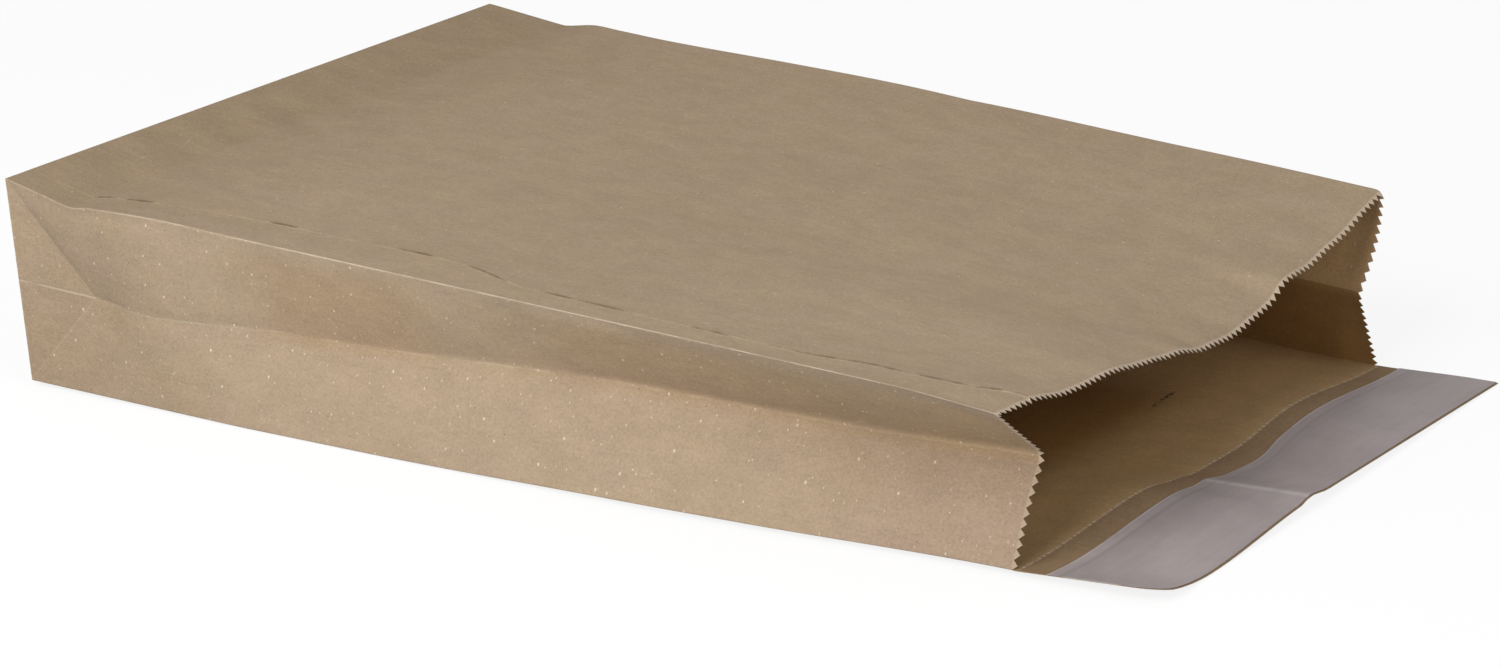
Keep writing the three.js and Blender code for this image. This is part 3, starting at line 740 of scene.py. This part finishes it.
class Graph:
    """A small helper that adds shader nodes to a material or world and links them."""

    def __init__(self, owner):
        owner.use_nodes = True
        self.nodes = owner.node_tree.nodes
        self.links = owner.node_tree.links

    def node(self, kind, **settings):
        made = self.nodes.new(kind)
        for key, value in settings.items():
            setattr(made, key, value)
        return made

    def put(self, value, socket):
        if isinstance(value, bpy.types.NodeSocket):
            self.links.new(value, socket)
        else:
            socket.default_value = value

    def feed(self, node, values):
        for name, value in values.items():
            self.put(value, node.inputs[name])

    def math(self, operation, a, b=0.0):
        made = self.node("ShaderNodeMath", operation=operation)
        self.put(a, made.inputs[0])
        self.put(b, made.inputs[1])
        return made.outputs[0]

    def ramp(self, value, span, ends=RISING, kind="SMOOTHSTEP"):
        made = self.node("ShaderNodeMapRange", interpolation_type=kind)
        for item, socket in zip((value, *span, *ends), made.inputs):
            self.put(item, socket)
        return made.outputs[0]

    def mix(self, share, a, b, blend="MIX"):
        made = self.node("ShaderNodeMix", data_type="RGBA", blend_type=blend)
        self.put(share, made.inputs[0])
        self.put(a, made.inputs[6])
        self.put(b, made.inputs[7])
        return made.outputs[2]

    def toned(self, colour, value):
        """The colour times a grey value."""
        grey = self.node("ShaderNodeCombineColor")
        for socket in grey.inputs[:3]:
            self.links.new(value, socket)
        return self.mix(1.0, colour, grey.outputs[0], "MULTIPLY")

    def shaded(self, colour, mask, shade):
        """The colour times a shade, as far as the mask goes."""
        return self.mix(mask, colour, self.mix(1.0, colour, shade + (1,), "MULTIPLY"))

    def most(self, *masks):
        return self.chain("MAXIMUM", masks)

    def times(self, *masks):
        return self.chain("MULTIPLY", masks)

    def chain(self, operation, masks):
        result = masks[0]
        for mask in masks[1:]:
            result = self.math(operation, result, mask)
        return result


class Sheet(Graph):
    """A material on the sheet; round and along are its places there in millimetres."""

    def __init__(self, name):
        self.material = bpy.data.materials.new(name)
        super().__init__(self.material)
        self.shader = self.nodes["Principled BSDF"]
        self.uv = self.node("ShaderNodeUVMap", uv_map="sheet")
        apart = self.node("ShaderNodeSeparateXYZ")
        self.links.new(self.uv.outputs[0], apart.inputs[0])
        self.round = self.math("DIVIDE", apart.outputs[0], MM)
        self.along = self.math("DIVIDE", apart.outputs[1], MM)

    def stretched(self, scale, turn, shift=(0, 0, 0)):
        made = self.node("ShaderNodeMapping")
        self.feed(made, {"Vector": self.uv.outputs[0], "Location": shift})
        self.feed(made, {"Rotation": (0, 0, turn), "Scale": (*scale, 1)})
        return made.outputs[0]

    def noise(self, pattern):
        scale, detail, rough, *shift = pattern
        vector = self.stretched(scale, 0.0, *shift)
        made = self.node("ShaderNodeTexNoise", noise_dimensions="2D")
        self.feed(made, {"Vector": vector, "Scale": 1.0, "Detail": detail, "Roughness": rough})
        return made.outputs[0]

    def swing(self, pattern, by, levels=MID_LEVELS):
        """A tone that swings about one with the noise."""
        return self.ramp(self.noise(pattern), levels, (1 - by, 1 + by))

    def flecks(self, cell, radii, share, turn, shift):
        """Small spots of a range of radii in a share of cells of the given size, in millimetres."""
        scale = [stretch / (cell * MM) for stretch in FIBRE_STRETCH]
        made = self.node("ShaderNodeTexVoronoi", voronoi_dimensions="2D", feature="F1")
        self.feed(made, {"Vector": self.stretched(scale, turn, shift), "Scale": 1.0})
        apart = self.node("ShaderNodeSeparateColor")
        self.links.new(made.outputs["Color"], apart.inputs[0])
        chosen = self.math("LESS_THAN", apart.outputs[0], share)
        sizes = [radius / cell for radius in radii]
        radius = self.ramp(apart.outputs[1], RISING, sizes, "LINEAR")
        core = self.math("MULTIPLY", radius, FIBRE_CORE)
        return self.math("MULTIPLY", chosen, self.ramp(made.outputs["Distance"], (core, radius), FALLING))

    def line(self, coordinate, centre, shape):
        """A mask about a place, from the line's half width and its blur."""
        distance = self.math("ABSOLUTE", self.math("SUBTRACT", coordinate, centre))
        return self.ramp(distance, (shape[0], shape[0] + shape[1]), FALLING)

    def between(self, coordinate, low, high):
        above = self.math("GREATER_THAN", coordinate, low)
        return self.math("MULTIPLY", above, self.math("LESS_THAN", coordinate, high))


# Colours of the papers, and shades that multiply them: painted shade below one and painted light above one
KRAFT = (0.338, 0.256, 0.172)
# The inside's kraft is lighter and warmer than the outside's, though it is the same paper: painted light for
# the inside of the bag
KRAFT_INSIDE_LIT = (0.53, 0.345, 0.165)
# Pale kraft for worn lines and the score, and for the teeth's painted highlight
KRAFT_WEAR_AND_HIGHLIGHT = (0.60, 0.50, 0.39)
WARM_TINT, GREY_TINT = (1.005, 1.0, 0.975), (0.995, 0.985, 1.005)
FLECK_LIGHT = (0.66, 0.57, 0.46)
FLECK_DARK = (0.10, 0.068, 0.045)
# Dark for the painted shadow under the lap seam's edge, and for the real scuff inside
GAP_SHADOW_AND_SCUFF = (0.085, 0.058, 0.038)
LINER = (0.300, 0.258, 0.254)
# Pale for the liner's crease and for its painted highlight
LINER_CREASE_AND_HIGHLIGHT = (0.52, 0.47, 0.46)
ADHESIVE = (0.62, 0.58, 0.48)
BAND_SHADE = (0.93, 0.93, 0.90)
BASE_SHADE = (0.92, 0.91, 0.90)
LIP_SHADE = (0.65, 0.66, 0.755)
MOUTH_SHADE = (0.69, 0.70, 0.73)
DEEP_SHADE = (0.64, 0.53, 0.36)
FAR_EDGE_SHADE = (0.70, 0.69, 0.70)
UPPER_FOLD_SHADE = (0.965, 0.915, 0.83)
LOWER_FOLD_SHADE = (0.84, 0.82, 0.79)
UPPER_MOUTH_LIGHT = (1.11, 1.10, 1.05)
LOWER_MOUTH_SHADE = (0.95, 0.92, 0.96)
FRONT_PAINTED_LIGHT = (1.07, 1.07, 1.08)
FLOOR = (0.62, 0.65, 0.72)
FLOOR_LIFT, FLOOR_ROUGHNESS, FLOOR_GLOSS = 0.85, 0.9, 0.1
WHITE = (1, 1, 1, 1)

# Tones of the kraft stock as noise and swing, and how strong its light fibres are off the near side
KRAFT_SWINGS = ((BLOTCH, 0.045), (STREAK, 0.02), (MOTTLE, 0.035), (GRAIN, 0.09))
OUTSIDE_FIBRES, INSIDE_FIBRES = 0.45, 0.9
# Surfaces as roughness and strength of the relief
FELT_SHARE, RELIEF_DEPTH, ROUGHNESS_SWING = 0.25, 0.0005, 0.06
OUTSIDE_SURFACE, INSIDE_SURFACE, KRAFT_GLOSS = (0.86, 0.5), (0.88, 0.5), 0.1
LINER_SURFACE, LINER_GLOSS = (0.55, 0.25), 0.16
FILM_SURFACE, FILM_GLOSS = (0.35, 0.2), 0.5

# Worn lines on the outside, and the seam's painted shadow: half width and blur, and strength; or a span and
# the strengths at its ends
NEAR_TOP_LINE, NEAR_TOP_WEAR, NEAR_TOP_FROM = (0.12, 0.45), (0.15, 0.8), ((10, 90), (0.35, 1.0))
FAR_TOP_LINE, FAR_TOP_WEAR = (0.2, 0.6), 0.3
BASE_LINE, BASE_WEAR = (0.2, 0.7), 0.5
MIDDLE_LINE, MIDDLE_WEAR = (0.1, 0.6), ((280, 370), (0.25, 0.0))
DIAGONAL_LINE, DIAGONAL_WEAR = (0.004, 0.012), 0.16
FLATTENED_LINE, FLATTENED_WEAR = (0.15, 0.4), 0.6
WEAR_STRENGTH = 0.8
# The seam's line is painted shadow of the gap under its free edge
SEAM_SHADOW_LINE, SEAM_SHADOW_STRENGTH, SEAM_SHADOW_FAINT, SEAM_RAGGED = (0.05, 0.32), 0.7, 0.22, (0.5, 1.0)
STRETCH_FADE = (0.5, 0.75)

# Where the painted shade and light on the outside start or end: along the bag, or below the near top or
# middle fold
BAND_FADE = (-3, 5)
BASE_FADE = (25, 115)
LOW_BASE_FADE, LOW_BASE_BELOW_TOP = (0, 100), (16, 72)
UPPER_BELOW_TOP, UPPER_FADE = (0, 12), (0, 6)
UPPER_FROM, UPPER_PATCH, UPPER_PATCH_LINE = (170, 280), 145, (20, 35)
LOWER_BELOW, LOWER_FADE, LOWER_FROM = (0, 1), (4, 30), (260, 400)
UPPER_MOUTH_FROM = (365, 415)
LOWER_MOUTH_FROM, LOWER_MOUTH_BELOW = (330, 400), (0, 6)
FRONT_LIGHT_AT, FRONT_LIGHT_LINE, FRONT_LIGHT_FROM = 80, (50, 50), (220, 340)
PALE_TIPS = (LENGTH - TOOTH_DEPTH - 0.7, LENGTH - TOOTH_DEPTH + 0.2)
PALE_TEETH = ((0, 4), (0.5, 0.2))

# The same on the inside, along from the mouth, which is negative within the bag, or round the tube
DEEP_FADE, DEEP_ROUND, DEEP_FAR = (-62, -32), ((190, 240), (1.0, 0.12)), 0.75
FAR_EDGE_FROM = (-15, -2)
MOUTH_FROM = (-30, -2)
LIP_FROM = (-1, 1)
SCORE_LINE, SCORE_STRENGTH = (0.3, 0.5), 0.62
# A scuff: its place round and along, half extent and blur either way, and strength
SCUFF_ROUND, SCUFF_LENGTH = 204.5, (7, 5)
SCUFF_ALONG, SCUFF_WIDTH, SCUFF_STRENGTH = 382.2, (0.4, 1.1), 0.85

# Tones of the liner and the film: a span, round or in from the liner's inner edge, and the tones at its
# ends; the liner's are partly painted light and shade
LINER_SWINGS = ((LINER_CLOUD, 0.05), (LINER_STREAK, 0.03), (LINER_GRAIN, 0.04, WIDE_LEVELS))
# Painted light towards the lip's near end; painted shade at the lip's inner side and painted light at its
# outer side
LINER_NEAR_LIGHT = ((20, 95), (1.16, 0.95))
LINER_ACROSS_SHADE = ((0, 36), (0.93, 1.055))
FREE_EDGE = ((3.0, 4.5), (1.10, 1.0))
# The groove is painted shade only
GROOVE_AT, GROOVE_LINE, GROOVE_SHADE = 4.8, (0.3, 0.9), (1.0, 0.93)
RIDGE_LINE, RIDGE_STRENGTH = (0.6, 2.4), 0.4
# A painted highlight along the liner's inner edge
INNER_EDGE_HIGHLIGHT = ((0.3, 1.2), (0.45, 0.0))
FILM_TONES = (0.9, 1.08)


def paper_colour(graph, tone, least):
    """Kraft stock: cloudy tone, streaks along the sheet, grain, and light and dark fibres."""
    warm, grey = (tuple(c * k for c, k in zip(tone, tint)) + (1,) for tint in (WARM_TINT, GREY_TINT))
    colour = graph.mix(graph.ramp(graph.noise(CLOUD), CLOUD_LEVELS), grey, warm)
    colour = graph.toned(colour, graph.times(*(graph.swing(*swing) for swing in KRAFT_SWINGS)))
    on_side = graph.math("GREATER_THAN", graph.round, AT_NEAR)
    plenty = graph.ramp(on_side, RISING, (least, 1.0))
    for *fleck, strength in LIGHT_FIBRES:
        colour = graph.mix(graph.times(graph.flecks(*fleck), strength, plenty), colour, FLECK_LIGHT + (1,))
    for *fleck, strength in DARK_FIBRES:
        colour = graph.mix(graph.times(graph.flecks(*fleck), strength), colour, FLECK_DARK + (1,))
    return colour


def paper_surface(graph, colour, surface, gloss):
    """Matt, with the felt of the sheet as a fine relief."""
    roughness, bump = surface
    felt = graph.noise(FELT)
    height = graph.math("ADD", graph.math("MULTIPLY", felt, FELT_SHARE), graph.noise(COCKLE))
    relief = graph.node("ShaderNodeBump")
    graph.feed(relief, {"Strength": bump, "Distance": RELIEF_DEPTH, "Height": height})
    rough = graph.ramp(felt, WIDE_LEVELS, (roughness - ROUGHNESS_SWING, roughness + ROUGHNESS_SWING))
    graph.feed(graph.shader, {"Base Color": colour, "Roughness": rough, "Specular IOR Level": gloss})
    graph.feed(graph.shader, {"Normal": relief.outputs[0]})
    return graph.material


def kraft_outside():
    graph = Sheet("kraft_outside")
    ramp, times, line = graph.ramp, graph.times, graph.line
    colour = paper_colour(graph, KRAFT, OUTSIDE_FIBRES)
    along = graph.along
    below_top = graph.math("SUBTRACT", graph.round, AT_NEAR)
    below_middle = graph.math("SUBTRACT", below_top, HALF_GUSSET)
    from_near = graph.math("SUBTRACT", AT_NEAR, graph.round)
    on_tube = graph.math("GREATER_THAN", along, 0.0)
    on_front = graph.between(graph.round, AT_TOP, AT_NEAR)

    # Worn folds and edges
    broken = graph.noise(WORN_PATCHES)
    worn = ramp(broken, WORN_LEVELS)
    wear = times(
        line(below_top, 0.0, NEAR_TOP_LINE),
        ramp(broken, NEAR_TOP_LEVELS, NEAR_TOP_WEAR),
        ramp(along, *NEAR_TOP_FROM),
        on_tube,
    )
    far_top = times(line(graph.round, AT_TOP, FAR_TOP_LINE), worn, FAR_TOP_WEAR)
    base_edge = times(line(along, 0.0, BASE_LINE), worn, BASE_WEAR)
    near_middle = line(below_middle, 0.0, MIDDLE_LINE)
    near_middle = times(near_middle, worn, ramp(along, *MIDDLE_WEAR))

    # The creases of the triangle beside the base
    crease = crease_at(0)
    from_middle = graph.math("ABSOLUTE", below_middle)
    to_fold = graph.math("SUBTRACT", 1.0, graph.math("DIVIDE", from_middle, HALF_GUSSET))
    past_diagonal = graph.math("SUBTRACT", to_fold, graph.math("DIVIDE", along, crease))
    on_gusset = graph.between(graph.round, AT_NEAR, ROUND)
    on_triangle = times(on_gusset, graph.between(along, 0.0, crease))
    diagonal = times(line(past_diagonal, 0.0, DIAGONAL_LINE), on_triangle, DIAGONAL_WEAR)
    flattened = times(line(from_middle, 0.0, FLATTENED_LINE), on_triangle)
    flattened = times(flattened, ramp(broken, FLATTENED_LEVELS), FLATTENED_WEAR)
    wear = graph.most(wear, far_top, base_edge, near_middle, diagonal, flattened)
    colour = graph.mix(times(wear, WEAR_STRENGTH), colour, KRAFT_WEAR_AND_HIGHLIGHT + (1,))

    # The lap seam's painted shadow: a dark line at its free edge for the gap under it, faint all along and
    # stronger where the seam stands open
    seam_place = from_near
    for shift_by, start, end in SEAM_SHIFTS:
        moved = ramp(along, (start, end), (0.0, shift_by))
        seam_place = graph.math("SUBTRACT", seam_place, moved)
    open_here = times(on_tube, SEAM_SHADOW_FAINT)
    for middle_at, half_length in SEAM_OPENINGS:
        stretch = line(along, middle_at, [share * half_length for share in STRETCH_FADE])
        open_here = graph.most(open_here, stretch)
    ragged = ramp(graph.noise(SEAM_BREAKS), SEAM_LEVELS, SEAM_RAGGED)
    seam = times(line(seam_place, SEAM_INSET, SEAM_SHADOW_LINE), open_here, ragged)
    colour = graph.mix(times(seam, SEAM_SHADOW_STRENGTH), colour, GAP_SHADOW_AND_SCUFF + (1,))

    # Painted shade on the band beside the base, towards the base end and on the near gusset's halves by the
    # middle fold; painted light on its upper half by the mouth and on the front's near side
    slant = (CREASE_AT[1] - CREASE_AT[0]) / WIDTH
    past_crease = graph.math("SUBTRACT", along, graph.math("MULTIPLY", from_near, slant))
    band_end = [crease + step for step in BAND_FADE]
    # Painted shade, darker towards the base end, more so further below the near top fold
    low_base_shade = times(ramp(along, LOW_BASE_FADE, FALLING), ramp(below_top, LOW_BASE_BELOW_TOP))
    upper = times(ramp(below_middle, UPPER_FADE, FALLING), ramp(below_top, UPPER_BELOW_TOP))
    upper_patch = line(along, UPPER_PATCH, UPPER_PATCH_LINE)
    along_upper = graph.most(ramp(along, UPPER_FROM), upper_patch)
    lower = times(ramp(below_middle, LOWER_FADE, FALLING), ramp(below_middle, LOWER_BELOW))
    low_half = ramp(below_middle, LOWER_MOUTH_BELOW)
    # Painted light on the front panel's near side towards the mouth
    front_light = times(line(from_near, FRONT_LIGHT_AT, FRONT_LIGHT_LINE), ramp(along, FRONT_LIGHT_FROM))
    for mask, shade in (
        (times(ramp(past_crease, band_end, FALLING), on_front), BAND_SHADE),
        (ramp(along, BASE_FADE, FALLING), BASE_SHADE),
        (low_base_shade, BASE_SHADE),
        (times(upper, along_upper), UPPER_FOLD_SHADE),
        (times(lower, ramp(along, LOWER_FROM)), LOWER_FOLD_SHADE),
        (times(upper, ramp(along, UPPER_MOUTH_FROM)), UPPER_MOUTH_LIGHT),
        (times(low_half, ramp(along, LOWER_MOUTH_FROM)), LOWER_MOUTH_SHADE),
        (times(front_light, on_front), FRONT_PAINTED_LIGHT),
    ):
        colour = graph.shaded(colour, mask, shade)

    # Paler tooth tips: partly the cut edge's lighter fibre and partly painted highlight, stronger above the
    # middle fold
    teeth = times(ramp(along, PALE_TIPS), graph.math("GREATER_THAN", graph.round, AT_FAR))
    pale = ramp(below_middle, *PALE_TEETH)
    colour = graph.mix(times(teeth, pale), colour, KRAFT_WEAR_AND_HIGHLIGHT + (1,))
    return paper_surface(graph, colour, OUTSIDE_SURFACE, KRAFT_GLOSS)


def kraft_inside():
    graph = Sheet("kraft_inside")
    ramp, times, line = graph.ramp, graph.times, graph.line
    colour = paper_colour(graph, KRAFT_INSIDE_LIT, INSIDE_FIBRES)
    past_mouth = graph.math("SUBTRACT", graph.along, LENGTH)
    on_back = graph.math("LESS_THAN", graph.round, AT_FAR)
    far_gusset = graph.between(graph.round, AT_FAR, AT_TOP)
    low_far = graph.between(graph.round, AT_FAR, AT_FAR + HALF_GUSSET)
    deep = times(ramp(past_mouth, DEEP_FADE, FALLING), ramp(graph.round, *DEEP_ROUND))
    # Painted shade deep in the bag, on the far gusset by its edge and on the back panel by the mouth, and
    # painted shadow of the bag on the lip
    for mask, shade in (
        (graph.most(deep, times(low_far, DEEP_FAR)), DEEP_SHADE),
        (times(far_gusset, ramp(past_mouth, FAR_EDGE_FROM)), FAR_EDGE_SHADE),
        (times(on_back, ramp(past_mouth, MOUTH_FROM)), MOUTH_SHADE),
        (times(on_back, ramp(past_mouth, LIP_FROM)), LIP_SHADE),
    ):
        colour = graph.shaded(colour, mask, shade)
    ragged = ramp(graph.noise(SCUFF_BREAKS), BROKEN_LEVELS)
    scuff = line(graph.along, SCUFF_ALONG, SCUFF_WIDTH)
    scuff = times(scuff, line(graph.round, SCUFF_ROUND, SCUFF_LENGTH), ragged)
    colour = graph.mix(times(scuff, SCUFF_STRENGTH), colour, GAP_SHADOW_AND_SCUFF + (1,))
    dots = ramp(graph.noise(SCORE_DOTS), BROKEN_LEVELS)
    score = times(line(past_mouth, 0.0, SCORE_LINE), dots, on_back, SCORE_STRENGTH)
    colour = graph.mix(score, colour, KRAFT_WEAR_AND_HIGHLIGHT + (1,))
    return paper_surface(graph, colour, INSIDE_SURFACE, KRAFT_GLOSS)


def liner_paper():
    graph = Sheet("liner_paper")
    ramp, times, line = graph.ramp, graph.times, graph.line
    # Painted light towards the near end and the outer side, and painted shade in a groove
    groove = line(graph.along, GROOVE_AT, GROOVE_LINE)
    tone = times(
        *(graph.swing(*swing) for swing in LINER_SWINGS),
        ramp(graph.round, *LINER_NEAR_LIGHT),
        ramp(graph.along, *LINER_ACROSS_SHADE),
        ramp(graph.along, *FREE_EDGE),
        ramp(groove, RISING, GROOVE_SHADE),
    )
    colour = graph.toned(LINER + (1,), tone)
    pressed = graph.noise(LINER_PRESS)
    ridge = line(graph.round, WIDTH / 2 + LIP_RIDGE[1], RIDGE_LINE)
    ridge = times(ridge, ramp(pressed, PRESS_LEVELS), RIDGE_STRENGTH)
    # A painted highlight along the inner edge
    inner_edge_highlight = times(ramp(graph.along, *INNER_EDGE_HIGHLIGHT), ramp(pressed, HIGHLIGHT_LEVELS))
    colour = graph.mix(graph.most(ridge, inner_edge_highlight), colour, LINER_CREASE_AND_HIGHLIGHT + (1,))
    return paper_surface(graph, colour, LINER_SURFACE, LINER_GLOSS)


def adhesive_film():
    graph = Sheet("adhesive_film")
    cloud = graph.ramp(graph.noise(FILM_CLOUD), MID_LEVELS, FILM_TONES)
    return paper_surface(graph, graph.toned(ADHESIVE + (1,), cloud), FILM_SURFACE, FILM_GLOSS)


def seen_directly(graph):
    """One for what the camera sees, also in gloss or through glass, and zero for the light on things."""
    rays = graph.node("ShaderNodeLightPath").outputs
    return graph.most(rays["Is Camera Ray"], rays["Is Glossy Ray"], rays["Is Transmission Ray"])


def pale_floor():
    """Pale floor that keeps the shadow; the camera sees it lifted towards white."""
    material = bpy.data.materials.new("pale_floor")
    graph = Graph(material)
    shader = graph.nodes["Principled BSDF"]
    glow = graph.node("ShaderNodeEmission")
    graph.feed(glow, {"Color": WHITE, "Strength": 1.0})
    seen = seen_directly(graph)
    graph.feed(shader, {"Base Color": graph.mix(seen, FLOOR + (1,), WHITE)})
    graph.feed(shader, {"Roughness": FLOOR_ROUGHNESS, "Specular IOR Level": FLOOR_GLOSS})
    mixed = graph.node("ShaderNodeMixShader")
    lifted = graph.math("MULTIPLY", seen, FLOOR_LIFT)
    for value, socket in zip((lifted, shader.outputs[0], glow.outputs[0]), mixed.inputs):
        graph.put(value, socket)
    graph.feed(graph.nodes["Material Output"], {"Surface": mixed.outputs[0]})
    return material


# The model's own frame has x from the base edge; the CAD row's frame is centred under its box
body_low, body_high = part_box("bag_body")
lip_reach = bottom(lip_end(0.0), 0.0)[0]
mouth_near = top(LENGTH, 0.0)[1]
shift = np.array([lip_reach - body_high.x / MM, mouth_near - body_low.y / MM, 0.0])

outside, inside = kraft_outside(), kraft_inside()

bag = make_object("kraft_bag", build_bag(), shift, (outside, inside), PAPER, WELD_GAP)
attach(bag, "root")
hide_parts("bag_body")

flap_parts = MeshParts()
base_flap(flap_parts, False, PAPER, *LOWER_FLAP)
base_flap(flap_parts, True, 2 * PAPER + FLAP_GAP, *UPPER_FLAP)
flaps = make_object("base_flaps", flap_parts, shift, (outside,), PAPER)
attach(flaps, "root")

adhesive_edges = (LINER_MARGIN + ADHESIVE_INSET, LINER_MARGIN + LINER_WIDTH - ADHESIVE_INSET)
adhesive_top = LAYER_GAP + ADHESIVE_THICKNESS
film_parts = build_strip(adhesive_edges, adhesive_top, 0)
film = make_object("adhesive_film", film_parts, shift, (adhesive_film(),), ADHESIVE_THICKNESS)
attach(film, "root")
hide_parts("adhesive_strip")

liner_edges = (LINER_MARGIN, LINER_MARGIN + LINER_WIDTH)
liner_top = adhesive_top + LAYER_GAP + LINER_THICKNESS
liner_parts = build_strip(liner_edges, liner_top, 1)
liner = make_object("liner_strip", liner_parts, shift, (liner_paper(),), LINER_THICKNESS)
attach(liner, "root")
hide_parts("release_liner")

# Studio
FLOOR_SIZE = 12.0
FLOOR_DROP = 0.0004
floor_mesh = bpy.data.meshes.new("floor")
half_floor = FLOOR_SIZE / 2
corners = ((-1, -1), (1, -1), (1, 1), (-1, 1))
floor_points = [(x * half_floor, y * half_floor, -FLOOR_DROP) for x, y in corners]
floor_mesh.from_pydata(floor_points, [], [(0, 1, 2, 3)])
floor_mesh.materials.append(pale_floor())
floor = placed("floor", floor_mesh)

WORLD_LIGHT = 0.47
world = bpy.data.worlds.new("studio")
sky = Graph(world)
brightness = sky.ramp(seen_directly(sky), RISING, (WORLD_LIGHT, 1.0), "LINEAR")
sky.feed(sky.nodes["Background"], {"Color": WHITE, "Strength": brightness})
bpy.context.scene.world = world


def lamp(name, kind, power, direction):
    """A lamp whose light comes from the given direction; returns its object."""
    light = bpy.data.lights.new(name, kind)
    light.energy = power
    obj = placed(name, light)
    obj.rotation_mode = "QUATERNION"
    obj.rotation_quaternion = direction.to_track_quat("Z", "Y")
    return obj


KEY_PLACE = (-0.08, -1.42, 0.93)
KEY_AIM = (0.0, 0.0, 0.05)
KEY_POWER = 24.6
KEY_SIZE = 1.1
FILL_FROM = (0.93, -0.22, 0.30)
FILL_STRENGTH = 0.75
FILL_SPREAD = 50
key = lamp("key", "AREA", KEY_POWER, Vector(KEY_PLACE) - Vector(KEY_AIM))
key.location = KEY_PLACE
key.data.size = KEY_SIZE
fill = lamp("fill", "SUN", FILL_STRENGTH, Vector(FILL_FROM))
fill.data.angle = math.radians(FILL_SPREAD)

# Camera, fitted to the photograph: place in the model's own frame, angles in degrees
CAMERA_PLACE = (1166.84, -1413.05, 536.49)
CAMERA_AZIMUTH = 33.551
CAMERA_ELEVATION = 17.010
CAMERA_ROLL = -0.797
FOCAL_PIXELS = 4604.56
IMAGE_WIDTH = 1500
SENSOR = 36.0
CAMERA_CLIP = (0.05, 50)


def photo_camera():
    data = bpy.data.cameras.new("photo")
    data.sensor_width = SENSOR
    data.lens = FOCAL_PIXELS / IMAGE_WIDTH * SENSOR
    data.clip_start, data.clip_end = CAMERA_CLIP
    camera = placed("photo", data)
    azimuth, elevation = math.radians(CAMERA_AZIMUTH), math.radians(CAMERA_ELEVATION)
    back = math.cos(elevation) * Vector((math.sin(azimuth), -math.cos(azimuth), math.tan(elevation)))
    level = Vector((math.cos(azimuth), math.sin(azimuth), 0))
    upright = back.cross(level)
    roll = math.radians(CAMERA_ROLL)
    right = math.cos(roll) * level + math.sin(roll) * upright
    up = back.cross(right)
    axes = Matrix((right, up, back)).transposed()
    place = Vector((np.array(CAMERA_PLACE) - shift) * MM)
    camera.matrix_world = Matrix.Translation(place) @ axes.to_4x4()
    bpy.context.scene.camera = camera


photo_camera()
bpy.context.scene.view_settings.view_transform = "Standard"

bpy.context.view_layer.update()
